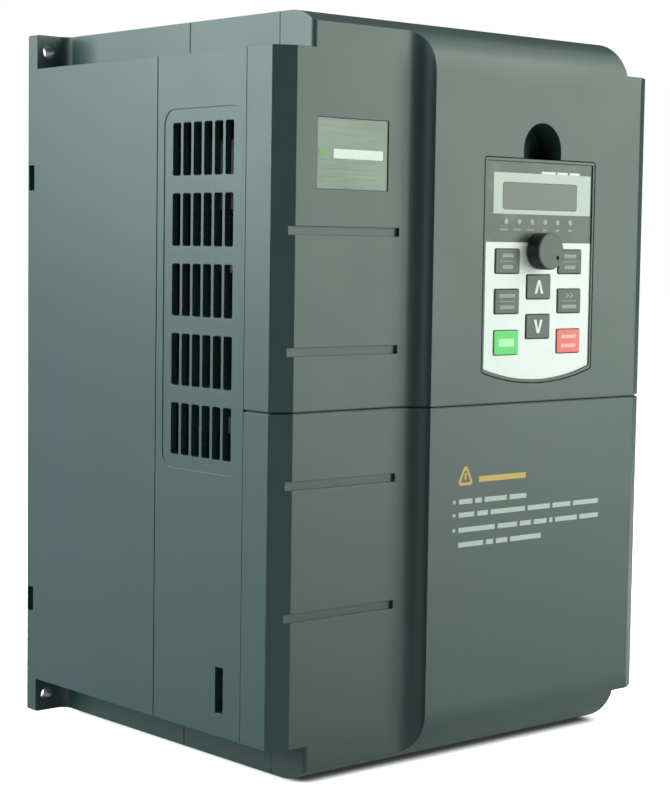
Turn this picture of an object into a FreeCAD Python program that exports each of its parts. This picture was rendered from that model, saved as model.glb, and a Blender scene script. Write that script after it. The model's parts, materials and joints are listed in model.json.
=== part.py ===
import FreeCAD, Part
import math
import os

from FreeCAD import Vector

# Wall-mounted variable frequency drive in a moulded housing, in millimetres.
# X runs to the right, the front faces -Y, Z is up. The origin is the centre of the rear
# mounting plane: Y = 0 is the wall, and every part of the drive has Y < 0.

# ---------------------------------------------------------------- driving dimensions
WIDTH = 192.0
HEIGHT = 280.0
DEPTH = 170.0
WALL = 3.0
GAP = 0.3

HALF_WIDTH = WIDTH / 2
HALF_HEIGHT = HEIGHT / 2
FRONT_Y = -DEPTH

# The body is full width between the two ledges. Above and below them it is narrower, which
# leaves four corner channels that give a screwdriver access to the mounting ears.
NARROW_HALF = HALF_WIDTH - 15.0
LEDGE_Z = HALF_HEIGHT - 13.8
EDGE_RADIUS = 20.0
NARROW_CORNER_RADIUS = 2.0

# Front relief: a recessed panel on the left, a concave sweep, a raised panel on the right.
PANEL_Y = FRONT_Y + 7.5
RAISED_EDGE_X = -27.4
SWEEP_RADIUS = 8.0
SWEEP_CENTRE_Y = PANEL_Y - SWEEP_RADIUS
SWEEP_CENTRE_X = RAISED_EDGE_X - math.sqrt(SWEEP_RADIUS ** 2 - (FRONT_Y - SWEEP_CENTRE_Y) ** 2)
CHAMFER_WIDE = 7.8
CHAMFER_DEEP = 4.5

# Seams between the housing parts. Each groove is (width, depth).
COVER_SEAM_Y = FRONT_Y + 26.2
CHASSIS_SEAM_Y = FRONT_Y + 80.0
COVER_SPLIT_Z = -4.0
CHASSIS_SEAM = (0.5, 0.4)
COVER_SEAM = (0.25, 0.2)
SPLIT_SEAM = (1.0, 0.8)
LIP_THICK = 1.3
LIP_LONG = 3.0
LIP_GAP = 0.2

# Rear flange and mounting ears.
EAR_THICK = 6.5
EAR_HOLE_X = 90.5
EAR_HOLE_Z = 133.5
EAR_HOLE_RADIUS = 2.75
EAR_FILLET = 4.5
EAR_CORNER_RADIUS = 0.8
BACK_WALL = 3.0

# Heatsink and its air duct.
BASE_FRONT_Y = -74.0
BASE_BACK_Y = -66.0
BASE_HALF_WIDTH = 80.0
SINK_LOW_Z = -108.0
SINK_HIGH_Z = 106.0
FIN_BACK_Y = -7.0
FIN_COUNT = 22
FIN_PITCH = 6.4
FIN_THICK = 1.8
DUCT_HALF = 73.0
DUCT_WALL = 2.0

# Cooling fans, hung under the fan guard at the top of the duct.
FAN_SIZE = 60.0
FAN_THICK = 25.0
FAN_X = 31.0
FAN_Y = -35.0
FAN_TOP_Z = 136.0
FAN_BOTTOM_Z = FAN_TOP_Z - FAN_THICK
FAN_HOLE_OFFSET = 25.0
FAN_BORE_RADIUS = 28.0
FAN_HUB_RADIUS = 12.5

# Boards.
BOARD_THICK = 1.6
POWER_BOARD_BACK_Y = -94.0
POWER_BOARD_FRONT_Y = POWER_BOARD_BACK_Y - BOARD_THICK
POWER_BOARD_HALF = 80.0
POWER_BOARD_LOW_Z = -116.0
POWER_BOARD_HIGH_Z = 106.0
TRAY_FRONT_Y = COVER_SEAM_Y - 2.0
CONTROL_BOARD_BACK_Y = TRAY_FRONT_Y - 4.2
CONTROL_BOARD_FRONT_Y = CONTROL_BOARD_BACK_Y - BOARD_THICK
CONTROL_BOARD_HALF = 76.0
CONTROL_BOARD_LOW_Z = -62.0
CONTROL_BOARD_HIGH_Z = 104.0

# Keypad.
PAD_X = 30.25
PAD_HALF = 31.25
PAD_TOP_Z = 90.6
PAD_SIDE_BOTTOM_Z = 8.4
PAD_BOTTOM_Z = 3.5
PAD_BACK_Y = FRONT_Y + 12.8
PAD_SPLIT_Y = FRONT_Y + 7.0
PAD_WALL = 1.6
PAD_RIM = 1.2
PAD_CORNER_RADIUS = 1.3
OVERLAY_FLOOR_Y = FRONT_Y + 1.0
OVERLAY_THICK = 0.5
PAD_FACE_BACK_Y = OVERLAY_FLOOR_Y + PAD_WALL
PAD_BOARD_FRONT_Y = FRONT_Y + 8.8
POCKET_GAP = 0.2
POCKET_FLOOR_Y = PAD_BACK_Y + 0.2

KEY_WIDTH = 13.4
KEY_HEIGHT = 9.3
KEY_FACE_Y = OVERLAY_FLOOR_Y - OVERLAY_THICK - 0.5
KEY_TRAVEL = 0.8
KEY_FLANGE_FRONT_Y = PAD_FACE_BACK_Y + 0.1
KEY_FLANGE_BACK_Y = KEY_FLANGE_FRONT_Y + 0.8
KEY_COLUMN_PITCH = 17.7
KEY_CENTRES = {
    "program": (-1, 51.0),
    "enter": (1, 51.0),
    "up": (0, 41.1),
    "jog": (-1, 35.5),
    "shift": (1, 35.5),
    "down": (0, 25.6),
    "run": (-1, 19.6),
    "stop": (1, 19.6),
}

KNOB_Z = 55.0
KNOB_RADIUS = 7.15
KNOB_FACE_Y = FRONT_Y - 6.2
SHAFT_RADIUS = 3.0

WINDOW_X = (9.4, 51.5)
WINDOW_Z = (70.9, 81.4)
LIGHT_FIRST_X = 11.6
LIGHT_PITCH = 7.25
LIGHT_COUNT = 6
LIGHT_Z = 66.3
LIGHT_RADIUS = 1.1

# Side vents.
VENT_ROW_TOP_Z = 91.0
VENT_ROW_PITCH = 26.15
VENT_ROWS = 5
VENT_COLUMNS = 6
VENT_FIRST_Y = -133.9
VENT_COLUMN_PITCH = 6.38
VENT_WIDTH = 4.9
VENT_CORNER_RADIUS = 0.9
VENT_LENGTH = 19.6


# ---------------------------------------------------------------- building blocks
ORIGIN = Vector(0, 0, 0)
X_AXIS = Vector(1, 0, 0)
Y_AXIS = Vector(0, 1, 0)
Z_AXIS = Vector(0, 0, 1)
CORNERS = [(-1, -1), (-1, 1), (1, -1), (1, 1)]


def block(x, y, z):
    """Box between a low and a high coordinate on each axis."""
    return Part.makeBox(x[1] - x[0], y[1] - y[0], z[1] - z[0], Vector(x[0], y[0], z[0]))


def rod_y(x, z, radius, y):
    """Round bar along Y between two Y coordinates."""
    return Part.makeCylinder(radius, y[1] - y[0], Vector(x, y[0], z), Y_AXIS)


def rod_z(x, y, radius, z):
    """Round bar along Z between two Z coordinates."""
    return Part.makeCylinder(radius, z[1] - z[0], Vector(x, y, z[0]), Z_AXIS)


def fuse(shapes):
    """One solid from overlapping or touching solids."""
    return shapes[0].fuse(shapes[1:]).removeSplitter()


def group(solids):
    """Separate solids kept in one node."""
    return Part.makeCompound(solids)


def mirrored(shape):
    """The same shape on the other side of the drive."""
    return shape.mirror(ORIGIN, X_AXIS)


def both_sides(shape):
    return [shape, mirrored(shape)]


def edges_along(shape, direction):
    """Straight edges that run along a direction."""
    found = []
    for edge in shape.Edges:
        if not isinstance(edge.Curve, Part.Line):
            continue
        tangent = edge.tangentAt(edge.FirstParameter)
        if abs(tangent.cross(direction).Length) < 1e-6:
            found.append(edge)
    return found


def edges_at_y(shape, y):
    """Edges that lie in one plane of constant Y."""
    return [edge for edge in shape.Edges
            if abs(edge.BoundBox.YMin - y) < 1e-4 and abs(edge.BoundBox.YMax - y) < 1e-4]


def rounded_block(x, y, z, radius, direction):
    """Box with its four edges along one direction rounded."""
    solid = block(x, y, z)
    return solid.makeFillet(radius, edges_along(solid, direction))


def around(centre, size):
    """Low and high coordinate of a size centred on a place."""
    return (centre - size / 2, centre + size / 2)


def grown(span, amount):
    """Span made longer by an amount at both ends."""
    return (span[0] - amount, span[1] + amount)


def bar_y(x, z, size, y, radius=0.0):
    """Bar along Y with a rectangular section centred on x and z, and rounded corners."""
    solid = block(around(x, size[0]), y, around(z, size[1]))
    if radius > 0:
        solid = solid.makeFillet(radius, edges_along(solid, Y_AXIS))
    return solid


def four_rods(x, z, radius, y):
    """Round bars along Y, one in each quadrant of the drive."""
    return [rod_y(sign_x * x, sign_z * z, radius, y) for sign_x, sign_z in CORNERS]


def cross_recess(x, z, y):
    """Cross cut into a screw head whose face is at y and looks to -Y."""
    depth = (y - 1, y + 1.2)
    return fuse([bar_y(x, z, (0.9, 4), depth), bar_y(x, z, (4, 0.9), depth)])


def screw_y(x, z, head, shank, under_head_y):
    """Screw along +Y; head and shank are (radius, length), and the head looks to -Y."""
    head_y = (under_head_y - head[1], under_head_y)
    cap = rod_y(x, z, head[0], head_y).cut(cross_recess(x, z, head_y[0]))
    return fuse([cap, rod_y(x, z, shank[0], (under_head_y, under_head_y + shank[1]))])


# ---------------------------------------------------------------- housing outline
def mitre(corner, normal_a, normal_b, inset):
    """Corner of an outline after both of its edges move inward by inset."""
    scale = inset / (1 + normal_a.dot(normal_b))
    return corner + (normal_a + normal_b) * scale


def polyline(points):
    return [Part.makeLine(a, b) for a, b in zip(points, points[1:])]


def wide_plan(inset):
    """Horizontal section between the ledges, seen from above."""
    side_normal = X_AXIS
    back_normal = Y_AXIS
    slope = Vector(CHAMFER_DEEP, CHAMFER_WIDE, 0).normalize()
    mirrored_slope = Vector(-slope.x, slope.y, 0)
    left_a = mitre(Vector(-HALF_WIDTH, PANEL_Y + CHAMFER_DEEP, 0), side_normal, slope, inset)
    left_b = mitre(Vector(-HALF_WIDTH + CHAMFER_WIDE, PANEL_Y, 0), slope, back_normal, inset)
    right_b = mitre(Vector(HALF_WIDTH - CHAMFER_WIDE, FRONT_Y, 0), mirrored_slope, back_normal, inset)
    right_a = mitre(Vector(HALF_WIDTH, FRONT_Y + CHAMFER_DEEP, 0), -side_normal, mirrored_slope, inset)
    left_back = Vector(-HALF_WIDTH + inset, 0, 0)
    right_back = Vector(HALF_WIDTH - inset, 0, 0)
    sweep = sweep_arc(inset)
    edges = polyline([left_back, left_a, left_b, sweep.StartPoint])
    edges.append(sweep.toShape())
    edges += polyline([sweep.EndPoint, right_b, right_a, right_back, left_back])
    return Part.Face(Part.Wire(edges))


def sweep_arc(inset):
    """Concave arc from the left panel up to the edge of the raised panel."""
    radius = SWEEP_RADIUS + inset
    rise = FRONT_Y + inset - SWEEP_CENTRE_Y
    run = math.sqrt(radius ** 2 - rise ** 2)
    start_angle = math.pi / 2
    end_angle = math.atan2(rise, run)
    middle_angle = (start_angle + end_angle) / 2
    places = []
    for angle in (start_angle, middle_angle, end_angle):
        places.append(Vector(SWEEP_CENTRE_X + radius * math.cos(angle),
                             SWEEP_CENTRE_Y + radius * math.sin(angle), 0))
    return Part.Arc(*places)


def narrow_plan(inset):
    """Horizontal section above and below the ledges."""
    half = NARROW_HALF - inset
    sweep = sweep_arc(inset)
    edges = polyline([Vector(-half, 0, 0), Vector(-half, PANEL_Y + inset, 0), sweep.StartPoint])
    edges.append(sweep.toShape())
    edges += polyline([sweep.EndPoint, Vector(half, FRONT_Y + inset, 0), Vector(half, 0, 0),
                       Vector(-half, 0, 0)])
    return Part.Face(Part.Wire(edges))


def side_profile(inset):
    """Section along the depth, with the top and bottom front edges rounded."""
    high = HALF_HEIGHT - inset
    solid = block((-HALF_WIDTH, HALF_WIDTH), (FRONT_Y + inset, 0), (-high, high))
    front_edges = [edge for edge in edges_along(solid, X_AXIS)
                   if edge.BoundBox.YMax < FRONT_Y / 2]
    return solid.makeFillet(EDGE_RADIUS - inset, front_edges)


def tall_prism(face, half_height):
    face.translate(Vector(0, 0, -half_height))
    return face.extrude(Vector(0, 0, 2 * half_height))


def housing(inset, y, round_corners=False):
    """Housing volume between two Y planes, with every outer face moved inward by inset."""
    wide = tall_prism(wide_plan(inset), LEDGE_Z - inset)
    narrow = tall_prism(narrow_plan(inset), HALF_HEIGHT - inset)
    if round_corners:
        corners = [edge for edge in edges_along(narrow, Z_AXIS)
                   if edge.BoundBox.YMax < FRONT_Y / 2 and abs(edge.BoundBox.XMin) > NARROW_HALF - 1]
        narrow = narrow.makeFillet(NARROW_CORNER_RADIUS, corners)
    solid = wide.fuse(narrow).common(side_profile(inset)).removeSplitter()
    slab = block((-HALF_WIDTH, HALF_WIDTH), y, (-HALF_HEIGHT, HALF_HEIGHT))
    return solid.common(slab)


def chassis_seam_groove():
    """Shallow groove all round the housing where the mid frame meets the chassis."""
    width, depth = CHASSIS_SEAM
    return ring(0, depth, around(CHASSIS_SEAM_Y, width))


def cover_seam_groove():
    """Fine groove all round the housing where the front covers meet the mid frame."""
    width, depth = COVER_SEAM
    return ring(0, depth, around(COVER_SEAM_Y, width))


def ring(outer_inset, inner_inset, y):
    """Hoop of the housing's section between two insets and two Y planes."""
    return housing(outer_inset, y).cut(housing(inner_inset, (y[0] - 1, min(y[1] + 1, 0))))


def lip(seam_y):
    """Ring that carries on in front of a seam inside the next part's wall, and its root band."""
    inner = WALL + LIP_GAP + LIP_THICK
    tongue = ring(WALL + LIP_GAP, inner, (seam_y - LIP_LONG, seam_y))
    root = ring(WALL - 0.5, inner, (seam_y, seam_y + 2))
    return [tongue, root]


# ---------------------------------------------------------------- rear chassis
def ear_fillet(sign_x, sign_z):
    """Concave fillet between a mounting ear and the narrow part of the body."""
    x = NARROW_HALF
    y = -EAR_THICK
    z0 = LEDGE_Z
    corner = Vector(x, y, z0)
    along_ear = Vector(x + EAR_FILLET, y, z0)
    along_wall = Vector(x, y - EAR_FILLET, z0)
    middle = EAR_FILLET * (1 - math.sqrt(0.5))
    arc = Part.Arc(along_ear, Vector(x + middle, y - middle, z0), along_wall).toShape()
    edges = [Part.makeLine(corner, along_ear), arc, Part.makeLine(along_wall, corner)]
    solid = Part.Face(Part.Wire(edges)).extrude(Vector(0, 0, HALF_HEIGHT - z0))
    if sign_x < 0:
        solid = mirrored(solid)
    if sign_z < 0:
        solid = solid.mirror(ORIGIN, Z_AXIS)
    return solid


def ear(sign_x, sign_z):
    """Mounting ear in one corner channel, with its outer corner rounded."""
    x = (NARROW_HALF - 1, HALF_WIDTH) if sign_x > 0 else (-HALF_WIDTH, -NARROW_HALF + 1)
    z = (LEDGE_Z - 1, HALF_HEIGHT) if sign_z > 0 else (-HALF_HEIGHT, -LEDGE_Z + 1)
    solid = block(x, (-EAR_THICK, 0), z)
    outer_corner = [edge for edge in edges_along(solid, Y_AXIS)
                    if edge.CenterOfMass.x * sign_x > HALF_WIDTH - 0.5
                    and edge.CenterOfMass.z * sign_z > HALF_HEIGHT - 0.5]
    return solid.makeFillet(EAR_CORNER_RADIUS, outer_corner)


BOSS_X = 87.5
BOSS_Z = 108.0
BOSS_RADIUS = 4.5
SINK_SCREW_X = 77.5
SINK_SCREW_Z = 96.0


def housing_bosses(y):
    """Four screw bosses against the side walls that join mid frame and chassis."""
    bosses = []
    for sign_x, sign_z in CORNERS:
        boss = rod_y(sign_x * BOSS_X, sign_z * BOSS_Z, BOSS_RADIUS, y)
        outer = HALF_WIDTH - WALL / 2
        web_x = (BOSS_X, outer) if sign_x > 0 else (-outer, -BOSS_X)
        web = block(web_x, y, around(sign_z * BOSS_Z, 2 * BOSS_RADIUS))
        bosses += [boss, web]
    return bosses


def duct_walls():
    """Two inner walls and two end walls that guide the air through the fins."""
    top = HALF_HEIGHT - WALL / 2
    side_x = (DUCT_HALF, DUCT_HALF + DUCT_WALL)
    walls = both_sides(block(side_x, (BASE_BACK_Y, -BACK_WALL / 2), (-top, top)))
    for z in ((SINK_HIGH_Z, top), (-top, SINK_LOW_Z)):
        walls.append(block((-DUCT_HALF - 1, DUCT_HALF + 1), (BASE_BACK_Y - DUCT_WALL, BASE_BACK_Y), z))
    return walls + four_rods(SINK_SCREW_X, SINK_SCREW_Z, 4.0, (BASE_BACK_Y, -50))


BOTTOM_WALL_Z = (-HALF_HEIGHT - 1, -HALF_HEIGHT + WALL + 1)
SIDE_WALL_X = (HALF_WIDTH - WALL - 1, HALF_WIDTH + 1)


def inlet_slots():
    """Rows of air slots in the bottom of the duct."""
    slots = []
    for row in range(2):
        y = around(-21 - 29 * row, 24)
        for column in range(12):
            x = around(-60.5 + 11 * column, 6.5)
            slots.append(rounded_block(x, y, BOTTOM_WALL_Z, 2.5, Z_AXIS))
    return slots


GUARD_HALF = 62.7
GUARD_TAB_HALF = 65.7
GUARD_Y = (-65.0, -5.0)
GUARD_TAB_Z = HALF_HEIGHT - 1.4
GUARD_BOTTOM_Z = FAN_TOP_Z
FAN_SCREW_SEAT_Z = HALF_HEIGHT - 2.2

EDGE_NOTCH_Z = (82.0, -92.8)
EDGE_NOTCH_Y = (-4.5, -0.6)
EDGE_NOTCH_LONG = 10.2
EDGE_NOTCH_DEEP = 3.2


def rear_chassis():
    """Back half of the housing: flange, ears, air duct and fan opening."""
    shell = housing(0, (CHASSIS_SEAM_Y, 0), True)
    hollow = housing(WALL, (CHASSIS_SEAM_Y, -BACK_WALL))
    solid = shell.cut(hollow)
    ears = []
    for sign_x, sign_z in CORNERS:
        ears += [ear(sign_x, sign_z), ear_fillet(sign_x, sign_z)]
    bosses = housing_bosses((CHASSIS_SEAM_Y, CHASSIS_SEAM_Y + 28))
    solid = fuse([solid] + ears + duct_walls() + bosses + lip(CHASSIS_SEAM_Y))

    cuts = [chassis_seam_groove()]
    window = (-DUCT_HALF + 5, DUCT_HALF - 5)
    window_z = (SINK_LOW_Z + 8, SINK_HIGH_Z - 8)
    cuts.append(rounded_block(window, (-BACK_WALL - 1, 1), window_z, 4, Y_AXIS))
    cuts += inlet_slots()
    guard_y = grown(GUARD_Y, GAP)
    opening = grown((-GUARD_HALF, GUARD_HALF), GAP)
    rebate = grown((-GUARD_TAB_HALF, GUARD_TAB_HALF), GAP)
    cuts.append(block(opening, guard_y, (HALF_HEIGHT - WALL - 1, HALF_HEIGHT + 1)))
    cuts.append(block(rebate, guard_y, (GUARD_TAB_Z, HALF_HEIGHT + 1)))
    cuts += four_rods(EAR_HOLE_X, EAR_HOLE_Z, EAR_HOLE_RADIUS, (-20, 1))
    cuts += four_rods(BOSS_X, BOSS_Z, 1.8, (CHASSIS_SEAM_Y - 1, CHASSIS_SEAM_Y + 22))
    cuts += four_rods(SINK_SCREW_X, SINK_SCREW_Z, 1.8, (BASE_BACK_Y - 1, -53))
    notch_x = (HALF_WIDTH - EDGE_NOTCH_DEEP, HALF_WIDTH + 1)
    for z in EDGE_NOTCH_Z:
        cuts += both_sides(block(notch_x, EDGE_NOTCH_Y, around(z, EDGE_NOTCH_LONG)))
    cuts.append(label_pocket())
    return solid.cut(cuts)


LABEL_Y = (-78.0, -22.0)
LABEL_Z = (-20.0, 60.0)
LABEL_RECESS = 0.4


def label_pocket():
    """Shallow pocket for the rating label on the right side."""
    return rounded_block((HALF_WIDTH - LABEL_RECESS, HALF_WIDTH + 1), LABEL_Y, LABEL_Z, 2, X_AXIS)


def rating_label():
    y = (LABEL_Y[0] + GAP, LABEL_Y[1] - GAP)
    z = (LABEL_Z[0] + GAP, LABEL_Z[1] - GAP)
    x = (HALF_WIDTH - LABEL_RECESS, HALF_WIDTH - LABEL_RECESS + 0.2)
    return rounded_block(x, y, z, 1.7, X_AXIS)


# ---------------------------------------------------------------- mid frame
CABLE_OPENING_HALF = 62.0
CABLE_OPENING_Y = (-134.0, -100.0)
GLAND_X = (-42.0, 0.0, 42.0)
GLAND_Y = -117.0
TRAY_LUG_Z = (-50.0, 88.0)
LATCH_SLOT_Y = (FRONT_Y + 36.5, FRONT_Y + 41.2)
LATCH_SLOT_Z = (-117.5, -100.2)


def vent_slots():
    """Five rows of six upright slots through one side wall."""
    slots = []
    for row in range(VENT_ROWS):
        z = around(VENT_ROW_TOP_Z - row * VENT_ROW_PITCH, VENT_LENGTH)
        for column in range(VENT_COLUMNS):
            y = around(VENT_FIRST_Y + column * VENT_COLUMN_PITCH, VENT_WIDTH)
            slots.append(rounded_block(SIDE_WALL_X, y, z, VENT_CORNER_RADIUS, X_AXIS))
    return slots


def vent_field():
    """Shallow recess with rounded corners around the vent slots."""
    y = (COVER_SEAM_Y + 2.2, FRONT_Y + 75.6)
    return rounded_block((HALF_WIDTH - 0.3, HALF_WIDTH + 1), y, (-28.6, 105.9), 6, X_AXIS)


def mid_frame():
    """Middle part of the housing, open to the front and the back, with the side vents."""
    y = (COVER_SEAM_Y, CHASSIS_SEAM_Y)
    lug_x = (82, HALF_WIDTH - WALL / 2)
    lugs = []
    for z in TRAY_LUG_Z:
        lugs += both_sides(block(lug_x, (COVER_SEAM_Y, COVER_SEAM_Y + 6), around(z, 12)))
    bosses = housing_bosses((COVER_SEAM_Y + 12, CHASSIS_SEAM_Y))
    solid = fuse([ring(0, WALL, y)] + bosses + lugs + lip(COVER_SEAM_Y))

    cuts = [cover_seam_groove(), chassis_seam_groove()]
    # The bosses are relieved where the chassis lip reaches behind this part's wall.
    relief_y = (CHASSIS_SEAM_Y - LIP_LONG - GAP, CHASSIS_SEAM_Y)
    cuts.append(ring(WALL, WALL + 2 * LIP_GAP + LIP_THICK, relief_y))
    cuts += vent_slots() + [mirrored(slot) for slot in vent_slots()]
    cuts += both_sides(vent_field())
    cuts += both_sides(block(SIDE_WALL_X, LATCH_SLOT_Y, LATCH_SLOT_Z))
    opening_x = (-CABLE_OPENING_HALF, CABLE_OPENING_HALF)
    cuts.append(rounded_block(opening_x, CABLE_OPENING_Y, BOTTOM_WALL_Z, 6, Z_AXIS))
    cuts += four_rods(BOSS_X, BOSS_Z, 2.2, (COVER_SEAM_Y, CHASSIS_SEAM_Y + 1))
    cuts += four_rods(BOSS_X, BOSS_Z, 4.0, (COVER_SEAM_Y, HOUSING_SCREW_SEAT_Y))
    return solid.cut(cuts)


HOUSING_SCREW_SEAT_Y = COVER_SEAM_Y + 16.0


def housing_screws():
    """Four long screws that hold the mid frame to the chassis."""
    length = CHASSIS_SEAM_Y + 20 - HOUSING_SCREW_SEAT_Y
    return group([screw_y(sign_x * BOSS_X, sign_z * BOSS_Z, (3.6, 3), (1.75, length), HOUSING_SCREW_SEAT_Y)
                  for sign_x, sign_z in CORNERS])


# ---------------------------------------------------------------- front covers
GROOVE_CENTRES_Z = (61.2, 17.8, -30.2, -78.2)
GROOVE_HEIGHT = 3.2
GROOVE_DEPTH = 1.3
GROOVE_END_X = -38.0

PLATE_X = (-78.4, -44.0)
PLATE_Z = (76.2, 101.8)
PLATE_RECESS = 0.8
PLATE_SUNK = 0.4
PLATE_GAP = 0.03

NOTCH_X = (20.0, 41.2)
NOTCH_TOP_Z = 104.7
NOTCH_FLOOR_Y = FRONT_Y + 12.0

SOCKET_X = (22.0, 38.5)
SOCKET_Z = (28.0, 42.0)


def cover_shell(z):
    """Front cover walls between two heights."""
    y = (FRONT_Y, COVER_SEAM_Y)
    shell = housing(0, y, True).cut(housing(WALL, (FRONT_Y + WALL, COVER_SEAM_Y)))
    return shell.common(block((-HALF_WIDTH, HALF_WIDTH), y, z))


def panel_grooves():
    """Horizontal flat-bottomed grooves in the left panel that run out through the chamfer."""
    x = (-HALF_WIDTH, GROOVE_END_X)
    y = (PANEL_Y - 1, PANEL_Y + GROOVE_DEPTH)
    return [block(x, y, around(z, GROOVE_HEIGHT)) for z in GROOVE_CENTRES_Z]


def pad_face(outset):
    """Keypad outline: straight top and sides, bowed lower edge; outset grows it all round."""
    half = PAD_HALF + outset
    top = PAD_TOP_Z + outset
    side_bottom = PAD_SIDE_BOTTOM_Z - outset
    bottom = PAD_BOTTOM_Z - outset
    y = 0
    left_low = Vector(PAD_X - half, y, side_bottom)
    right_low = Vector(PAD_X + half, y, side_bottom)
    bow = Part.Arc(left_low, Vector(PAD_X, y, bottom), right_low).toShape()
    rest = polyline([right_low, Vector(PAD_X + half, y, top), Vector(PAD_X - half, y, top), left_low])
    return Part.Face(Part.Wire([bow] + rest))


def pad_prism(outset, y, corner_radius=PAD_CORNER_RADIUS):
    """Bar along Y with the keypad outline."""
    face = pad_face(outset)
    face.translate(Vector(0, y[0], 0))
    solid = face.extrude(Vector(0, y[1] - y[0], 0))
    corners = edges_along(solid, Y_AXIS)
    return solid.makeFillet(corner_radius, corners)


def notch_prism(outset, y):
    """Finger notch above the keypad, with a half-round top."""
    x = (NOTCH_X[0] - outset, NOTCH_X[1] + outset)
    radius = (x[1] - x[0]) / 2
    arch_z = NOTCH_TOP_Z + outset - radius
    low_z = PAD_TOP_Z - 4
    return fuse([block(x, y, (low_z, arch_z)), rod_y(sum(x) / 2, arch_z, radius, y)])


def upper_cover():
    """Upper front cover with the keypad pocket."""
    split = COVER_SPLIT_Z + GAP / 2
    solid = cover_shell((split, HALF_HEIGHT))
    wall_y = (FRONT_Y + WALL - 0.5, POCKET_FLOOR_Y + 2)
    notch_y = (FRONT_Y + WALL - 0.5, NOTCH_FLOOR_Y + 2)
    solid = fuse([solid, pad_prism(POCKET_GAP + 2, wall_y, 3.0), notch_prism(2, notch_y)])
    solid = solid.common(block((-HALF_WIDTH, HALF_WIDTH), (FRONT_Y, COVER_SEAM_Y), (split, HALF_HEIGHT)))
    cuts = [cover_seam_groove(), split_groove()]
    cuts.append(pad_prism(POCKET_GAP, (FRONT_Y - 1, POCKET_FLOOR_Y), PAD_CORNER_RADIUS + POCKET_GAP))
    cuts.append(notch_prism(0, (FRONT_Y - 1, NOTCH_FLOOR_Y)))
    socket_y = (POCKET_FLOOR_Y - 1, POCKET_FLOOR_Y + 3)
    cuts.append(block(grown(SOCKET_X, 1), socket_y, grown(SOCKET_Z, 1)))
    plate_y = (PANEL_Y - 1, PANEL_Y + PLATE_RECESS)
    cuts.append(block(grown(PLATE_X, PLATE_GAP), plate_y, grown(PLATE_Z, PLATE_GAP)))
    cuts += panel_grooves()
    return solid.cut(cuts)


def split_groove():
    """Groove along the seam between the two front covers."""
    width, depth = SPLIT_SEAM
    y = (FRONT_Y, COVER_SEAM_Y)
    return ring(0, depth, y).common(block((-HALF_WIDTH, HALF_WIDTH), y, around(COVER_SPLIT_Z, width)))


def lower_cover():
    """Lower front cover over the terminals."""
    solid = cover_shell((-HALF_HEIGHT, COVER_SPLIT_Z - GAP / 2))
    rib_y = (FRONT_Y + WALL - 0.5, FRONT_Y + WALL + 4)
    ribs = [block(around(x, 2), rib_y, (-110, -20)) for x in (10, 60)]
    solid = fuse([solid] + ribs)
    return solid.cut([cover_seam_groove(), split_groove()] + panel_grooves())


def name_plate():
    """Blank metal-look plate set into the left panel."""
    solid = block(PLATE_X, (PANEL_Y + PLATE_SUNK, PANEL_Y + PLATE_RECESS), PLATE_Z)
    return solid.makeChamfer(0.1, edges_at_y(solid, PANEL_Y + PLATE_SUNK))


# ---------------------------------------------------------------- heatsink and fans
def heatsink():
    """Extruded heatsink: a base plate with fins that face the wall."""
    z = (SINK_LOW_Z, SINK_HIGH_Z)
    base = block((-BASE_HALF_WIDTH, BASE_HALF_WIDTH), (BASE_FRONT_Y, BASE_BACK_Y), z)
    first = -FIN_PITCH * (FIN_COUNT - 1) / 2
    fins = []
    for index in range(FIN_COUNT):
        x = around(first + index * FIN_PITCH, FIN_THICK)
        fins.append(block(x, (BASE_BACK_Y, FIN_BACK_Y), z))
    start_y = BASE_FRONT_Y - 1
    holes = four_rods(SINK_SCREW_X, SINK_SCREW_Z, 2.1, (start_y, BASE_BACK_Y + 1))
    holes += [rod_y(x, z0, 2.05, (start_y, BASE_BACK_Y - 1)) for x, z0 in MODULE_SCREWS]
    holes += [rod_y(x, z0, 1.55, (start_y, BASE_BACK_Y - 2)) for x, z0 in STANDOFFS]
    return fuse([base] + fins).cut(holes)


def heatsink_screws():
    """Four screws that hold the heatsink to the duct."""
    head = (2.4, 2.6)
    shank = (1.75, 19)
    return group([screw_y(sign_x * SINK_SCREW_X, sign_z * SINK_SCREW_Z, head, shank, BASE_FRONT_Y)
                  for sign_x, sign_z in CORNERS])


def fan_screw_places(x):
    """Screw places of one fan, seen from above."""
    return [(x + dx * FAN_HOLE_OFFSET, FAN_Y + dy * FAN_HOLE_OFFSET) for dx, dy in CORNERS]


def fan_frame(x):
    """Square axial fan frame with its motor hub on three struts."""
    z = (FAN_BOTTOM_Z, FAN_TOP_Z)
    frame = rounded_block(around(x, FAN_SIZE), around(FAN_Y, FAN_SIZE), z, 3, Z_AXIS)
    frame = frame.cut(rod_z(x, FAN_Y, FAN_BORE_RADIUS, (z[0] - 1, z[1] + 1)))
    low = (FAN_BOTTOM_Z, FAN_BOTTOM_Z + 4)
    parts = [frame, rod_z(x, FAN_Y, FAN_HUB_RADIUS, low)]
    for index in range(3):
        strut = block((0, FAN_BORE_RADIUS + 1), (-1.5, 1.5), low)
        strut.rotate(ORIGIN, Z_AXIS, 30 + 120 * index)
        strut.translate(Vector(x, FAN_Y, 0))
        parts.append(strut)
    solid = fuse(parts)
    cuts = [rod_z(x, FAN_Y, 1.55, grown(low, 1))]
    cuts += [rod_z(hole_x, hole_y, 1.75, grown(z, 1)) for hole_x, hole_y in fan_screw_places(x)]
    return solid.cut(cuts)


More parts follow.
